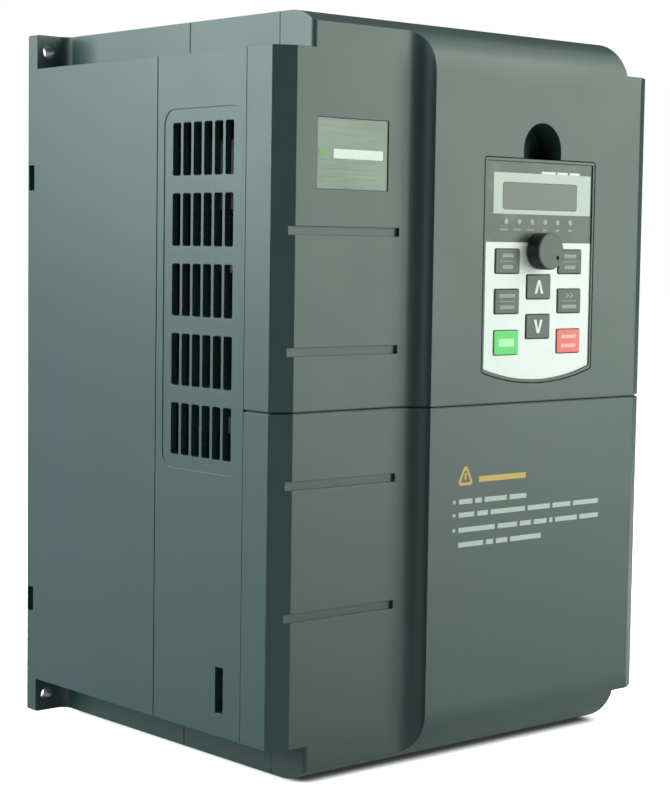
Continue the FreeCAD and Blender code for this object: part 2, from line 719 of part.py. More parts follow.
def fan_rotor(x):
    """Seven-bladed rotor on its shaft."""
    hub_z = (FAN_BOTTOM_Z + 5, FAN_TOP_Z - 2)
    hub = rod_z(0, 0, FAN_HUB_RADIUS, hub_z)
    hub = hub.makeFillet(1.5, [edge for edge in hub.Edges if abs(edge.BoundBox.ZMin - hub_z[1]) < 1e-4])
    parts = [hub, rod_z(0, 0, 1.5, (FAN_BOTTOM_Z + 0.5, hub_z[0] + 1))]
    middle_z = (hub_z[0] + hub_z[1]) / 2
    for index in range(7):
        blade = block((FAN_HUB_RADIUS - 1, FAN_BORE_RADIUS - 1.2), (-0.7, 0.7), (-9, 9))
        blade.rotate(ORIGIN, X_AXIS, 48)
        blade.translate(Vector(0, 0, middle_z))
        blade.rotate(ORIGIN, Z_AXIS, 360 / 7 * index)
        parts.append(blade)
    solid = fuse(parts)
    solid.translate(Vector(x, FAN_Y, 0))
    return solid


def fan_guard():
    """Snap-in guard in the top of the chassis, with a round grille over each fan."""
    plate = block((-GUARD_HALF, GUARD_HALF), GUARD_Y, (GUARD_BOTTOM_Z, HALF_HEIGHT - 0.2))
    tabs = block((-GUARD_TAB_HALF, GUARD_TAB_HALF), GUARD_Y, (GUARD_TAB_Z, HALF_HEIGHT - 0.2))
    solid = fuse([plate, tabs])
    through = (GUARD_BOTTOM_Z - 1, HALF_HEIGHT + 1)
    cuts = [rod_z(x, FAN_Y, FAN_BORE_RADIUS - 0.5, through) for x in (-FAN_X, FAN_X)]
    for x, y in fan_screw_places(-FAN_X) + fan_screw_places(FAN_X):
        cuts.append(rod_z(x, y, 2.0, through))
        cuts.append(rod_z(x, y, 3.3, (FAN_SCREW_SEAT_Z, HALF_HEIGHT + 1)))
    solid = solid.cut(cuts)
    grille_z = (HALF_HEIGHT - 2.2, HALF_HEIGHT - 0.2)
    bars = [solid]
    for x in (-FAN_X, FAN_X):
        for ring in (10.0, 16.5, 23.0):
            bars.append(rod_z(x, FAN_Y, ring, grille_z).cut(rod_z(x, FAN_Y, ring - 1.6, through)))
        for turn in (45, 135):
            bar = block((-FAN_BORE_RADIUS, FAN_BORE_RADIUS), (-1.1, 1.1), grille_z)
            bar.rotate(ORIGIN, Z_AXIS, turn)
            bar.translate(Vector(x, FAN_Y, 0))
            bars.append(bar)
    return fuse(bars)


def fan_screws():
    """Eight screws that hold the fans to the guard."""
    screws = []
    for x, y in fan_screw_places(-FAN_X) + fan_screw_places(FAN_X):
        head = rod_z(x, y, 3.0, (FAN_SCREW_SEAT_Z, HALF_HEIGHT - 0.4))
        slot = block(around(x, 4.6), around(y, 0.8), (HALF_HEIGHT - 1.2, HALF_HEIGHT))
        shank = rod_z(x, y, 1.7, (FAN_TOP_Z - 14, FAN_SCREW_SEAT_Z))
        screws.append(fuse([head.cut(slot), shank]))
    return group(screws)


# ---------------------------------------------------------------- power electronics
MODULE_SCREWS = [(-48.0, -52.0), (48.0, -52.0), (-48.0, 10.0), (48.0, 10.0)]
STANDOFFS = [(-74.0, -82.0), (74.0, -82.0), (-74.0, 0.0), (74.0, 0.0), (-74.0, 52.0), (74.0, 52.0)]
MODULE_TOP_Y = BASE_FRONT_Y - 17.0
MODULE_FLANGE = 6.0
CAP_X = (-57.0, -19.0, 19.0, 57.0)
CAP_Z = 82.0
CAP_RADIUS = 17.5
CAP_LONG = 45.0
HOLDER_Y = (-130.0, -127.0)


def module(centre_z, length, height, pin_rows):
    """Flat power module screwed to the heatsink, with rows of pins up to the power board."""
    body = bar_y(0, centre_z, (length, height), (MODULE_TOP_Y, BASE_FRONT_Y), 2)
    flange_y = (BASE_FRONT_Y - MODULE_FLANGE, BASE_FRONT_Y)
    flange = bar_y(0, centre_z, (length + 16, height * 0.6), flange_y, 2)
    parts = [body, flange]
    for row in pin_rows:
        for column in range(8):
            x = -length / 2 + 8 + column * (length - 16) / 7
            parts.append(bar_y(x, centre_z + row, (1, 1), (POWER_BOARD_BACK_Y, MODULE_TOP_Y + 1)))
    solid = fuse(parts)
    holes = [rod_y(x, z, 2.4, grown(flange_y, 1)) for x, z in MODULE_SCREWS]
    return solid.cut(holes)


def power_module():
    return module(-52.0, 88.0, 48.0, (-18, 18))


def rectifier_module():
    return module(10.0, 80.0, 30.0, (-10, 10))


def module_screws():
    """Cap screws that clamp the two modules to the heatsink."""
    seat_y = BASE_FRONT_Y - MODULE_FLANGE
    return group([screw_y(x, z, (3.6, 3), (2.0, MODULE_FLANGE + 6), seat_y) for x, z in MODULE_SCREWS])


def standoffs():
    """Hexagonal pillars between heatsink and power board."""
    radius = 3.4
    length = BASE_FRONT_Y - POWER_BOARD_BACK_Y
    pillars = []
    for x, z in STANDOFFS:
        corners = []
        for index in range(7):
            angle = math.radians(60 * index)
            away = Vector(math.cos(angle), 0, math.sin(angle)) * radius
            corners.append(Vector(x, POWER_BOARD_BACK_Y, z) + away)
        pillar = Part.Face(Part.makePolygon(corners)).extrude(Y_AXIS * length)
        stud = rod_y(x, z, 1.5, (BASE_FRONT_Y - 1, BASE_BACK_Y - 3))
        bore = rod_y(x, z, 1.55, (POWER_BOARD_BACK_Y - 1, POWER_BOARD_BACK_Y + 9))
        pillars.append(fuse([pillar, stud]).cut(bore))
    return group(pillars)


TRAY_SCREWS = [(-70.0, -54.0), (70.0, -54.0), (-70.0, 96.0), (70.0, 96.0)]


def board_screws():
    """Small screws that hold both boards down."""
    head = (2.7, 2)
    screws = [screw_y(x, z, head, (1.5, 9), POWER_BOARD_FRONT_Y) for x, z in STANDOFFS]
    screws += [screw_y(x, z, head, (1.5, 6), CONTROL_BOARD_FRONT_Y) for x, z in TRAY_SCREWS]
    return group(screws)


def power_board():
    """Printed circuit board over the modules, with small parts soldered on."""
    y = (POWER_BOARD_FRONT_Y, POWER_BOARD_BACK_Y)
    board_x = (-POWER_BOARD_HALF, POWER_BOARD_HALF)
    board = rounded_block(board_x, y, (POWER_BOARD_LOW_Z, POWER_BOARD_HIGH_Z), 2, Y_AXIS)
    small_parts = [board]
    for index in range(5):
        small_parts.append(bar_y(-30 + 12 * index, -32, (5, 9), (y[0] - 5, y[0])))
    for index in range(3):
        small_parts.append(rod_y(60, -22 + 12 * index, 4, (y[0] - 12, y[0])))
    holes = [rod_y(x, z, 1.6, (y[0] - 1, y[1] + 1)) for x, z in STANDOFFS]
    return fuse(small_parts).cut(holes)


def dc_capacitor(x):
    """Snap-in electrolytic capacitor with its rolled rim."""
    y = (POWER_BOARD_FRONT_Y - CAP_LONG, POWER_BOARD_FRONT_Y)
    can = rod_y(x, CAP_Z, CAP_RADIUS, y)
    can = can.makeFillet(1.5, edges_at_y(can, y[0]))
    score_y = (y[0] - 1, y[0] + 0.4)
    score = fuse([bar_y(x, CAP_Z, (18, 0.8), score_y), bar_y(x, CAP_Z, (0.8, 18), score_y)])
    return can.cut(score)


def capacitor_holder():
    """Plastic plate with four rings that steadies the capacitors."""
    plate = rounded_block((-79.5, 79.5), HOLDER_Y, (CAP_Z - 21, CAP_Z + 21), 3, Y_AXIS)
    parts = [plate]
    for sign in (-1, 1):
        parts.append(bar_y(sign * 77.9, CAP_Z, (3, 26), (HOLDER_Y[1] - 1, POWER_BOARD_FRONT_Y)))
    holes = [rod_y(x, CAP_Z, CAP_RADIUS + 0.3, (HOLDER_Y[0] - 1, HOLDER_Y[1] + 1)) for x in CAP_X]
    return fuse(parts).cut(holes)


def on_power_board(x, z, width, height, tall, radius=1.0):
    """Component body standing on the front of the power board."""
    y = (POWER_BOARD_FRONT_Y - tall, POWER_BOARD_FRONT_Y)
    return bar_y(x, z, (width, height), y, radius)


def precharge_resistor():
    body = on_power_board(-48, 50, 38, 10, 10)
    return body.makeFillet(1, edges_at_y(body, POWER_BOARD_FRONT_Y - 10))


def precharge_relay():
    return on_power_board(-52, 28, 29, 16, 26)


def supply_transformer():
    """Ferrite core with its winding for the low-voltage supply."""
    core = on_power_board(30, 36, 30, 30, 12, 0.5)
    front = POWER_BOARD_FRONT_Y - 28
    top = bar_y(30, 36, (30, 30), (front, front + 8))
    winding = rod_y(30, 36, 12.5, (front, POWER_BOARD_FRONT_Y))
    return fuse([core, top, winding])


def current_sensor(x):
    """Ring-type sensor on a motor output conductor."""
    body = on_power_board(x, -76, 24, 12, 24, 2)
    hole = rod_z(x, POWER_BOARD_FRONT_Y - 12, 6, (-90, -60))
    return body.cut(hole)


TERMINAL_COUNT = 10
TERMINAL_PITCH = 15.0
TERMINAL_Z = (-114.0, -90.0)
TERMINAL_FRONT_Y = -126.0
TERMINAL_SCREW_Z = -103.0


def terminal_x(index):
    return (index - (TERMINAL_COUNT - 1) / 2) * TERMINAL_PITCH


def power_terminal_block():
    """Barrier strip for mains, motor, braking resistor and earth conductors."""
    body = block((-77, 77), (TERMINAL_FRONT_Y, POWER_BOARD_FRONT_Y), TERMINAL_Z)
    pocket_y = (TERMINAL_FRONT_Y - 1, TERMINAL_FRONT_Y + 8)
    pocket_z = (TERMINAL_Z[0] - 1, TERMINAL_Z[1] - 4)
    cuts = []
    for index in range(TERMINAL_COUNT):
        x = terminal_x(index)
        cuts.append(block(around(x, TERMINAL_PITCH - 2), pocket_y, pocket_z))
        cuts.append(rod_y(x, TERMINAL_SCREW_Z, 2.1, (pocket_y[1] - 1, pocket_y[1] + 12)))
    return body.cut(cuts)


def power_terminal_screws():
    """Terminal screws with their square clamping washers."""
    washer_y = (TERMINAL_FRONT_Y + 6.5, TERMINAL_FRONT_Y + 8)
    screws = []
    for index in range(TERMINAL_COUNT):
        x = terminal_x(index)
        washer = bar_y(x, TERMINAL_SCREW_Z, (10, 10), washer_y)
        screw = screw_y(x, TERMINAL_SCREW_Z, (3.8, 3), (2.0, 11.5), washer_y[0])
        screws.append(fuse([washer, screw]))
    return group(screws)


# ---------------------------------------------------------------- control electronics
def control_tray():
    """Plastic tray that carries the control board on lugs of the mid frame."""
    y = (TRAY_FRONT_Y, COVER_SEAM_Y)
    plate = rounded_block((-79, 79), y, (-70, 110), 3, Y_AXIS)
    parts = [plate]
    for z in TRAY_LUG_Z:
        parts.append(block((-90, 90), y, around(z, 12)))
    for x, z in TRAY_SCREWS:
        parts.append(rod_y(x, z, 3.5, (CONTROL_BOARD_BACK_Y, TRAY_FRONT_Y + 1)))
    bore_y = (CONTROL_BOARD_BACK_Y - 1, COVER_SEAM_Y + 1)
    cuts = [rod_y(x, z, 1.55, bore_y) for x, z in TRAY_SCREWS]
    cuts.append(bar_y(RIBBON_X, RIBBON_Z, (22, 8), grown(y, 1)))
    return fuse(parts).cut(cuts)


RIBBON_X = -58.0
RIBBON_Z = -14.0


def ribbon_cable():
    """Flat cable with a plug at each end, between power board and control board."""
    start = CONTROL_BOARD_BACK_Y
    end = POWER_BOARD_FRONT_Y
    plugs = [bar_y(RIBBON_X, RIBBON_Z, (20, 6), y) for y in ((end - 8, end), (start, start + 6))]
    strip = bar_y(RIBBON_X, RIBBON_Z, (17, 1.2), (start + 5, end - 7))
    return fuse([strip] + plugs)


def control_board():
    """Control board with its processor, small capacitors and keypad connector seat."""
    y = (CONTROL_BOARD_FRONT_Y, CONTROL_BOARD_BACK_Y)
    board_x = (-CONTROL_BOARD_HALF, CONTROL_BOARD_HALF)
    board = rounded_block(board_x, y, (CONTROL_BOARD_LOW_Z, CONTROL_BOARD_HIGH_Z), 2, Y_AXIS)
    front = CONTROL_BOARD_FRONT_Y
    parts = [board, bar_y(-50, 40, (20, 20), (front - 1.6, front))]
    for index in range(4):
        parts.append(bar_y(-60 + 14 * index, 12, (8, 5), (front - 1.5, front)))
        parts.append(rod_y(-60 + 12 * index, -20, 3.2, (front - 6, front)))
    for index in range(3):
        parts.append(bar_y(5 + 22 * index, -34, (18, 12), (front - 11, front)))
    holes = [rod_y(x, z, 1.6, (y[0] - 1, y[1] + 1)) for x, z in TRAY_SCREWS]
    return fuse(parts).cut(holes)


CONTROL_TERMINALS = 16
CONTROL_PITCH = 5.0
CONTROL_FIRST_X = -16.0
CONTROL_TERMINAL_Z = (-60.0, -48.0)
CONTROL_SCREW_Z = -52.0
CONTROL_TERMINAL_FRONT_Y = CONTROL_BOARD_FRONT_Y - 11.0


def control_terminal_block():
    """Row of small screw terminals for the control wires."""
    x0 = CONTROL_FIRST_X - CONTROL_PITCH / 2
    x1 = x0 + CONTROL_TERMINALS * CONTROL_PITCH
    front = CONTROL_TERMINAL_FRONT_Y
    body = block((x0, x1), (front, CONTROL_BOARD_FRONT_Y), CONTROL_TERMINAL_Z)
    cuts = []
    for index in range(CONTROL_TERMINALS):
        x = CONTROL_FIRST_X + index * CONTROL_PITCH
        cuts.append(rod_y(x, CONTROL_SCREW_Z, 1.9, (front - 1, front + 6)))
        cuts.append(block(around(x, 3.4), (front + 4, front + 9), (-61, -56)))
    return body.cut(cuts)


def control_terminal_screws():
    """Slotted screws of the control terminals."""
    y = (CONTROL_TERMINAL_FRONT_Y + 1, CONTROL_TERMINAL_FRONT_Y + 6)
    screws = []
    for index in range(CONTROL_TERMINALS):
        x = CONTROL_FIRST_X + index * CONTROL_PITCH
        slot = bar_y(x, CONTROL_SCREW_Z, (5, 0.6), (y[0] - 1, y[0] + 0.8))
        screws.append(rod_y(x, CONTROL_SCREW_Z, 1.7, y).cut(slot))
    return group(screws)


def keypad_socket():
    """Socket on the control board that the keypad plugs on to."""
    y = (PAD_BACK_Y + 0.1, CONTROL_BOARD_FRONT_Y)
    body = block(SOCKET_X, y, SOCKET_Z)
    return body.cut(block(grown(SOCKET_X, -2), (y[0] - 1, y[0] + 4), grown(SOCKET_Z, -2.5)))


# ---------------------------------------------------------------- cable entry
ENTRY_PLATE_Z = (-HALF_HEIGHT + WALL, -HALF_HEIGHT + WALL + 2.5)
GROMMET_RADIUS = 14.0
GROMMET_NECK_RADIUS = 12.5
GROMMET_BORE_RADIUS = 9.0


def cable_entry_plate():
    """Plate over the cable opening in the bottom, with three round holes."""
    x = grown((-CABLE_OPENING_HALF, CABLE_OPENING_HALF), 5)
    plate = rounded_block(x, grown(CABLE_OPENING_Y, 3), ENTRY_PLATE_Z, 3, Z_AXIS)
    through = grown(ENTRY_PLATE_Z, 1)
    return plate.cut([rod_z(x, GLAND_Y, GROMMET_NECK_RADIUS, through) for x in GLAND_X])


def cable_grommets():
    """Three rubber grommets that the cables pass through."""
    grommets = []
    for x in GLAND_X:
        inner = (ENTRY_PLATE_Z[1], ENTRY_PLATE_Z[1] + 2)
        outer = (ENTRY_PLATE_Z[0] - 2, ENTRY_PLATE_Z[0])
        neck = (outer[1], inner[0])
        parts = [rod_z(x, GLAND_Y, GROMMET_RADIUS, z) for z in (inner, outer)]
        parts.append(rod_z(x, GLAND_Y, GROMMET_NECK_RADIUS, neck))
        bore = rod_z(x, GLAND_Y, GROMMET_BORE_RADIUS, (outer[0] - 1, inner[1] + 1))
        grommets.append(fuse(parts).cut(bore))
    return group(grommets)


# ---------------------------------------------------------------- keypad
def key_centre(name):
    column, z = KEY_CENTRES[name]
    return PAD_X + column * KEY_COLUMN_PITCH, z


def key_openings(y, grow):
    """Rectangular openings around the eight keys."""
    openings = []
    for name in KEY_CENTRES:
        x, z = key_centre(name)
        openings.append(bar_y(x, z, (KEY_WIDTH + grow, KEY_HEIGHT + grow), y, 0.8))
    return openings


def light_places():
    return [LIGHT_FIRST_X + index * LIGHT_PITCH for index in range(LIGHT_COUNT)]


def keypad_case():
    """Front shell of the keypad: rim, recessed face and openings."""
    solid = pad_prism(0, (FRONT_Y, PAD_SPLIT_Y))
    solid = solid.makeFillet(0.5, edges_at_y(solid, FRONT_Y))
    inner = pad_prism(-PAD_WALL, (PAD_FACE_BACK_Y, PAD_SPLIT_Y + 1), 1.0)
    recess = pad_prism(-PAD_RIM, (FRONT_Y - 1, OVERLAY_FLOOR_Y), 0.6)
    through = (FRONT_Y - 1, PAD_FACE_BACK_Y + 1)
    cuts = [inner, recess] + key_openings(through, 0.5)
    cuts.append(rounded_block(WINDOW_X, through, WINDOW_Z, 1.2, Y_AXIS))
    cuts += [rod_y(x, LIGHT_Z, LIGHT_RADIUS + 0.05, through) for x in light_places()]
    cuts.append(rod_y(PAD_X, KNOB_Z, 4.0, through))
    return solid.cut(cuts)


def keypad_back():
    """Rear shell of the keypad with the opening for its plug."""
    solid = pad_prism(0, (PAD_SPLIT_Y, PAD_BACK_Y))
    inner = pad_prism(-PAD_WALL, (PAD_SPLIT_Y - 1, PAD_BACK_Y - 1.5), 1.0)
    plug = block(grown(SOCKET_X, -3), (PAD_BACK_Y - 3, PAD_BACK_Y + 1), grown(SOCKET_Z, -3.5))
    pillar_y = (PAD_BOARD_FRONT_Y + BOARD_THICK, PAD_BACK_Y - 1)
    pillars = []
    for z in (13.0, 86.0):
        pillars += [rod_y(PAD_X + dx, z, 2.5, pillar_y) for dx in (-26, 26)]
    return fuse([solid.cut(inner)] + pillars).cut(plug)


def keypad_board():
    """Circuit board inside the keypad, with its plug at the back."""
    y = (PAD_BOARD_FRONT_Y, PAD_BOARD_FRONT_Y + BOARD_THICK)
    board = pad_prism(-PAD_WALL - 0.4, y, 1.0)
    plug = block(grown(SOCKET_X, -3.5), (y[1] - 0.5, PAD_BACK_Y), grown(SOCKET_Z, -4))
    return fuse([board, plug])


def display_module():
    """Five-digit display block behind the window."""
    y = (PAD_FACE_BACK_Y + 0.1, PAD_BOARD_FRONT_Y)
    return block(grown(WINDOW_X, 3), y, grown(WINDOW_Z, 2)).cut(digit_segments())


def digit_segments():
    """Shallow segment pockets that draw five unlit figures of seven bars each."""
    face_y = PAD_FACE_BACK_Y + 0.1
    depth = (face_y - 1, face_y + 0.15)
    centre_z = sum(WINDOW_Z) / 2
    pitch = 7.9
    first = sum(WINDOW_X) / 2 - 2 * pitch
    across = around(0, 3.2)
    upright = (0.4, 3.2)
    cuts = []
    for index in range(5):
        x = first + index * pitch
        for dz in (-3.7, 0, 3.7):
            cuts.append(block((x + across[0], x + across[1]), depth, around(centre_z + dz, 0.7)))
        for dx in (-2.2, 2.2):
            for sign in (-1, 1):
                z = sorted((centre_z + sign * upright[0], centre_z + sign * upright[1]))
                cuts.append(block(around(x + dx, 0.7), depth, z))
    return cuts


def display_window():
    """Clear window, flush with the overlay."""
    y = (OVERLAY_FLOOR_Y - OVERLAY_THICK, PAD_FACE_BACK_Y)
    return rounded_block(grown(WINDOW_X, -0.1), y, grown(WINDOW_Z, -0.1), 1.1, Y_AXIS)


def keypad_overlay():
    """Thin printed sheet on the face of the keypad."""
    y = (OVERLAY_FLOOR_Y - OVERLAY_THICK, OVERLAY_FLOOR_Y)
    sheet = pad_prism(-PAD_RIM - 0.15, y, 0.5)
    through = (y[0] - 1, y[1] + 1)
    cuts = key_openings(through, 0.6)
    cuts.append(rounded_block(WINDOW_X, through, WINDOW_Z, 1.2, Y_AXIS))
    cuts += [rod_y(x, LIGHT_Z, LIGHT_RADIUS + 0.05, through) for x in light_places()]
    cuts.append(rod_y(PAD_X, KNOB_Z, 4.2, through))
    return sheet.cut(cuts)


def indicator_lights():
    """Six round light guides under the display."""
    y = (OVERLAY_FLOOR_Y - OVERLAY_THICK - 0.1, PAD_BOARD_FRONT_Y)
    return group([rod_y(x, LIGHT_Z, LIGHT_RADIUS, y) for x in light_places()])


def key_mat():
    """Rubber sheet with a dome under each key, drawn at full press."""
    back = PAD_BOARD_FRONT_Y
    dome_front = KEY_FLANGE_BACK_Y + KEY_TRAVEL + 0.05
    sheet = block((PAD_X - 27, PAD_X + 27), (back - 1, back), (13.5, 58))
    domes = [sheet]
    for name in KEY_CENTRES:
        x, z = key_centre(name)
        domes.append(bar_y(x, z, (8, 6), (dome_front, back), 1))
    pot = block(around(PAD_X, 14.5), (back - 9, back + 1), (KNOB_Z - 7.5, KNOB_Z + 4))
    return fuse(domes).cut(pot)


def key(name):
    """Key cap with a flange behind the keypad face."""
    x, z = key_centre(name)
    cap = bar_y(x, z, (KEY_WIDTH, KEY_HEIGHT), (KEY_FACE_Y, KEY_FLANGE_BACK_Y), 0.7)
    cap = cap.makeFillet(0.3, edges_at_y(cap, KEY_FACE_Y))
    flange_y = (KEY_FLANGE_FRONT_Y, KEY_FLANGE_BACK_Y)
    flange = bar_y(x, z, (KEY_WIDTH + 1.8, KEY_HEIGHT + 1.6), flange_y)
    return fuse([cap, flange])


def potentiometer():
    """Potentiometer body with its threaded bush."""
    body = bar_y(PAD_X, KNOB_Z, (12, 12), (PAD_BOARD_FRONT_Y - 5, PAD_BOARD_FRONT_Y), 1)
    bush = rod_y(PAD_X, KNOB_Z, 3.8, (OVERLAY_FLOOR_Y + 0.2, PAD_BOARD_FRONT_Y - 4))
    bore = rod_y(PAD_X, KNOB_Z, SHAFT_RADIUS + 0.05, (FRONT_Y - 5, PAD_BOARD_FRONT_Y - 1.5))
    return fuse([body, bush]).cut(bore)


def shaft_flat(y):
    """Material taken off one side of the shaft so that the knob can't slip."""
    return block((PAD_X - 5, PAD_X + 5), y, (KNOB_Z + 2.2, KNOB_Z + 5))


KNOB_BACK_Y = OVERLAY_FLOOR_Y - OVERLAY_THICK - 0.4
SHAFT_TIP_Y = KNOB_FACE_Y + 1.6
POINTER_REACH = 4.4
POINTER_ANGLE = math.radians(-35)


def knob_shaft():
    """Shaft of the potentiometer, turned by the knob."""
    shaft = rod_y(PAD_X, KNOB_Z, SHAFT_RADIUS, (SHAFT_TIP_Y, PAD_BOARD_FRONT_Y - 2))
    return shaft.cut(shaft_flat((SHAFT_TIP_Y - 1, KNOB_BACK_Y)))


def knob():
    """Speed knob with a dimple as its pointer."""
    body = rod_y(PAD_X, KNOB_Z, KNOB_RADIUS, (KNOB_FACE_Y, KNOB_BACK_Y))
    body = body.makeFillet(0.6, edges_at_y(body, KNOB_FACE_Y))
    x = PAD_X + POINTER_REACH * math.cos(POINTER_ANGLE)
    z = KNOB_Z + POINTER_REACH * math.sin(POINTER_ANGLE)
    pointer = rod_y(x, z, 0.8, (KNOB_FACE_Y - 1, KNOB_FACE_Y + 0.6))
    bore = rod_y(PAD_X, KNOB_Z, SHAFT_RADIUS, (SHAFT_TIP_Y, KNOB_BACK_Y + 1))
    bore = bore.cut(shaft_flat((SHAFT_TIP_Y - 1, KNOB_BACK_Y + 2)))
    return body.cut([pointer, bore])


# ---------------------------------------------------------------- all nodes
def nodes():
    """Every piece of the drive by its node name."""
    made = {
        "rear_chassis": rear_chassis(),
        "mid_frame": mid_frame(),
        "upper_cover": upper_cover(),
        "lower_cover": lower_cover(),
        "name_plate": name_plate(),
        "rating_label": rating_label(),
        "housing_screws": housing_screws(),
        "heatsink": heatsink(),
        "heatsink_screws": heatsink_screws(),
        "fan_guard": fan_guard(),
        "fan_screws": fan_screws(),
        "power_module": power_module(),
        "rectifier_module": rectifier_module(),
        "module_screws": module_screws(),
        "board_standoffs": standoffs(),
        "board_screws": board_screws(),
        "power_board": power_board(),
        "capacitor_holder": capacitor_holder(),
        "precharge_resistor": precharge_resistor(),
        "precharge_relay": precharge_relay(),
        "supply_transformer": supply_transformer(),
        "current_sensor_u": current_sensor(20),
        "current_sensor_w": current_sensor(50),
        "power_terminal_block": power_terminal_block(),
        "power_terminal_screws": power_terminal_screws(),
        "control_tray": control_tray(),
        "ribbon_cable": ribbon_cable(),
        "control_board": control_board(),
        "control_terminal_block": control_terminal_block(),
        "control_terminal_screws": control_terminal_screws(),
        "keypad_socket": keypad_socket(),
        "cable_entry_plate": cable_entry_plate(),
        "cable_grommets": cable_grommets(),
        "keypad_case": keypad_case(),
        "keypad_back": keypad_back(),
        "keypad_board": keypad_board(),
        "display_module": display_module(),
        "display_window": display_window(),
        "keypad_overlay": keypad_overlay(),
        "indicator_lights": indicator_lights(),
        "key_mat": key_mat(),
        "potentiometer": potentiometer(),
        "knob_shaft": knob_shaft(),
        "knob": knob(),
    }
    for side, x in (("left", -FAN_X), ("right", FAN_X)):
        made["fan_frame_" + side] = fan_frame(x)
        made["fan_rotor_" + side] = fan_rotor(x)
    for index, x in enumerate(CAP_X):
        made["dc_capacitor_%d" % (index + 1)] = dc_capacitor(x)
    for name in KEY_CENTRES:
        made["key_" + name] = key(name)
    return made


os.makedirs("parts", exist_ok=True)
for node_name, node_shape in nodes().items():
    node_shape.exportStep("parts/" + node_name + ".step")
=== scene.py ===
"""Looks of a wall-mounted variable frequency drive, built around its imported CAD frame."""
import json
import math

import bmesh
import bpy
from mathutils import Matrix, Vector

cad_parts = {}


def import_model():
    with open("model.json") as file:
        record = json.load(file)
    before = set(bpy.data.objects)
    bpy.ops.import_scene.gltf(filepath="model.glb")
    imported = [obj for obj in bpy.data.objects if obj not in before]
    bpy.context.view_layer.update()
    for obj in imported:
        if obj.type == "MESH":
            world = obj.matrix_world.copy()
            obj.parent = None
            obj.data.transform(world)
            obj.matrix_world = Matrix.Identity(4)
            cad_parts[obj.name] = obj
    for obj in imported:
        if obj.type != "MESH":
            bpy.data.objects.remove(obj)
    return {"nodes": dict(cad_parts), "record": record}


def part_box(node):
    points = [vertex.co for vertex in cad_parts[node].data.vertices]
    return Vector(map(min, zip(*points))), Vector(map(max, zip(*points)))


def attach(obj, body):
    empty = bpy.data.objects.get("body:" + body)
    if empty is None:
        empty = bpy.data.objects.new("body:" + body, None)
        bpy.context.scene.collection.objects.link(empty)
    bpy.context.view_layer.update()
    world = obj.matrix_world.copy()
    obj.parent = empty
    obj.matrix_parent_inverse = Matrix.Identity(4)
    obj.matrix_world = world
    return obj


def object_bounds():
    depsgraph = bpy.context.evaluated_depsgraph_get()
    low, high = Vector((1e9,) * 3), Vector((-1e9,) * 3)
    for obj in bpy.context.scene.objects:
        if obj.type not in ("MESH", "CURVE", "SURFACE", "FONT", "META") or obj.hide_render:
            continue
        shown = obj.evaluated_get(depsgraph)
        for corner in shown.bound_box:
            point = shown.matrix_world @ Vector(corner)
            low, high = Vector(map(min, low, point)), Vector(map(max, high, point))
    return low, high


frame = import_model()
cad_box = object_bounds()

MM = 0.001


# ================================================================ shader helpers


def grey(level):
    """Neutral colour."""
    return (level, level, level)


def shade(colour, factor):
    """Colour made darker or lighter."""
    return tuple(min(1.0, channel * factor) for channel in colour)


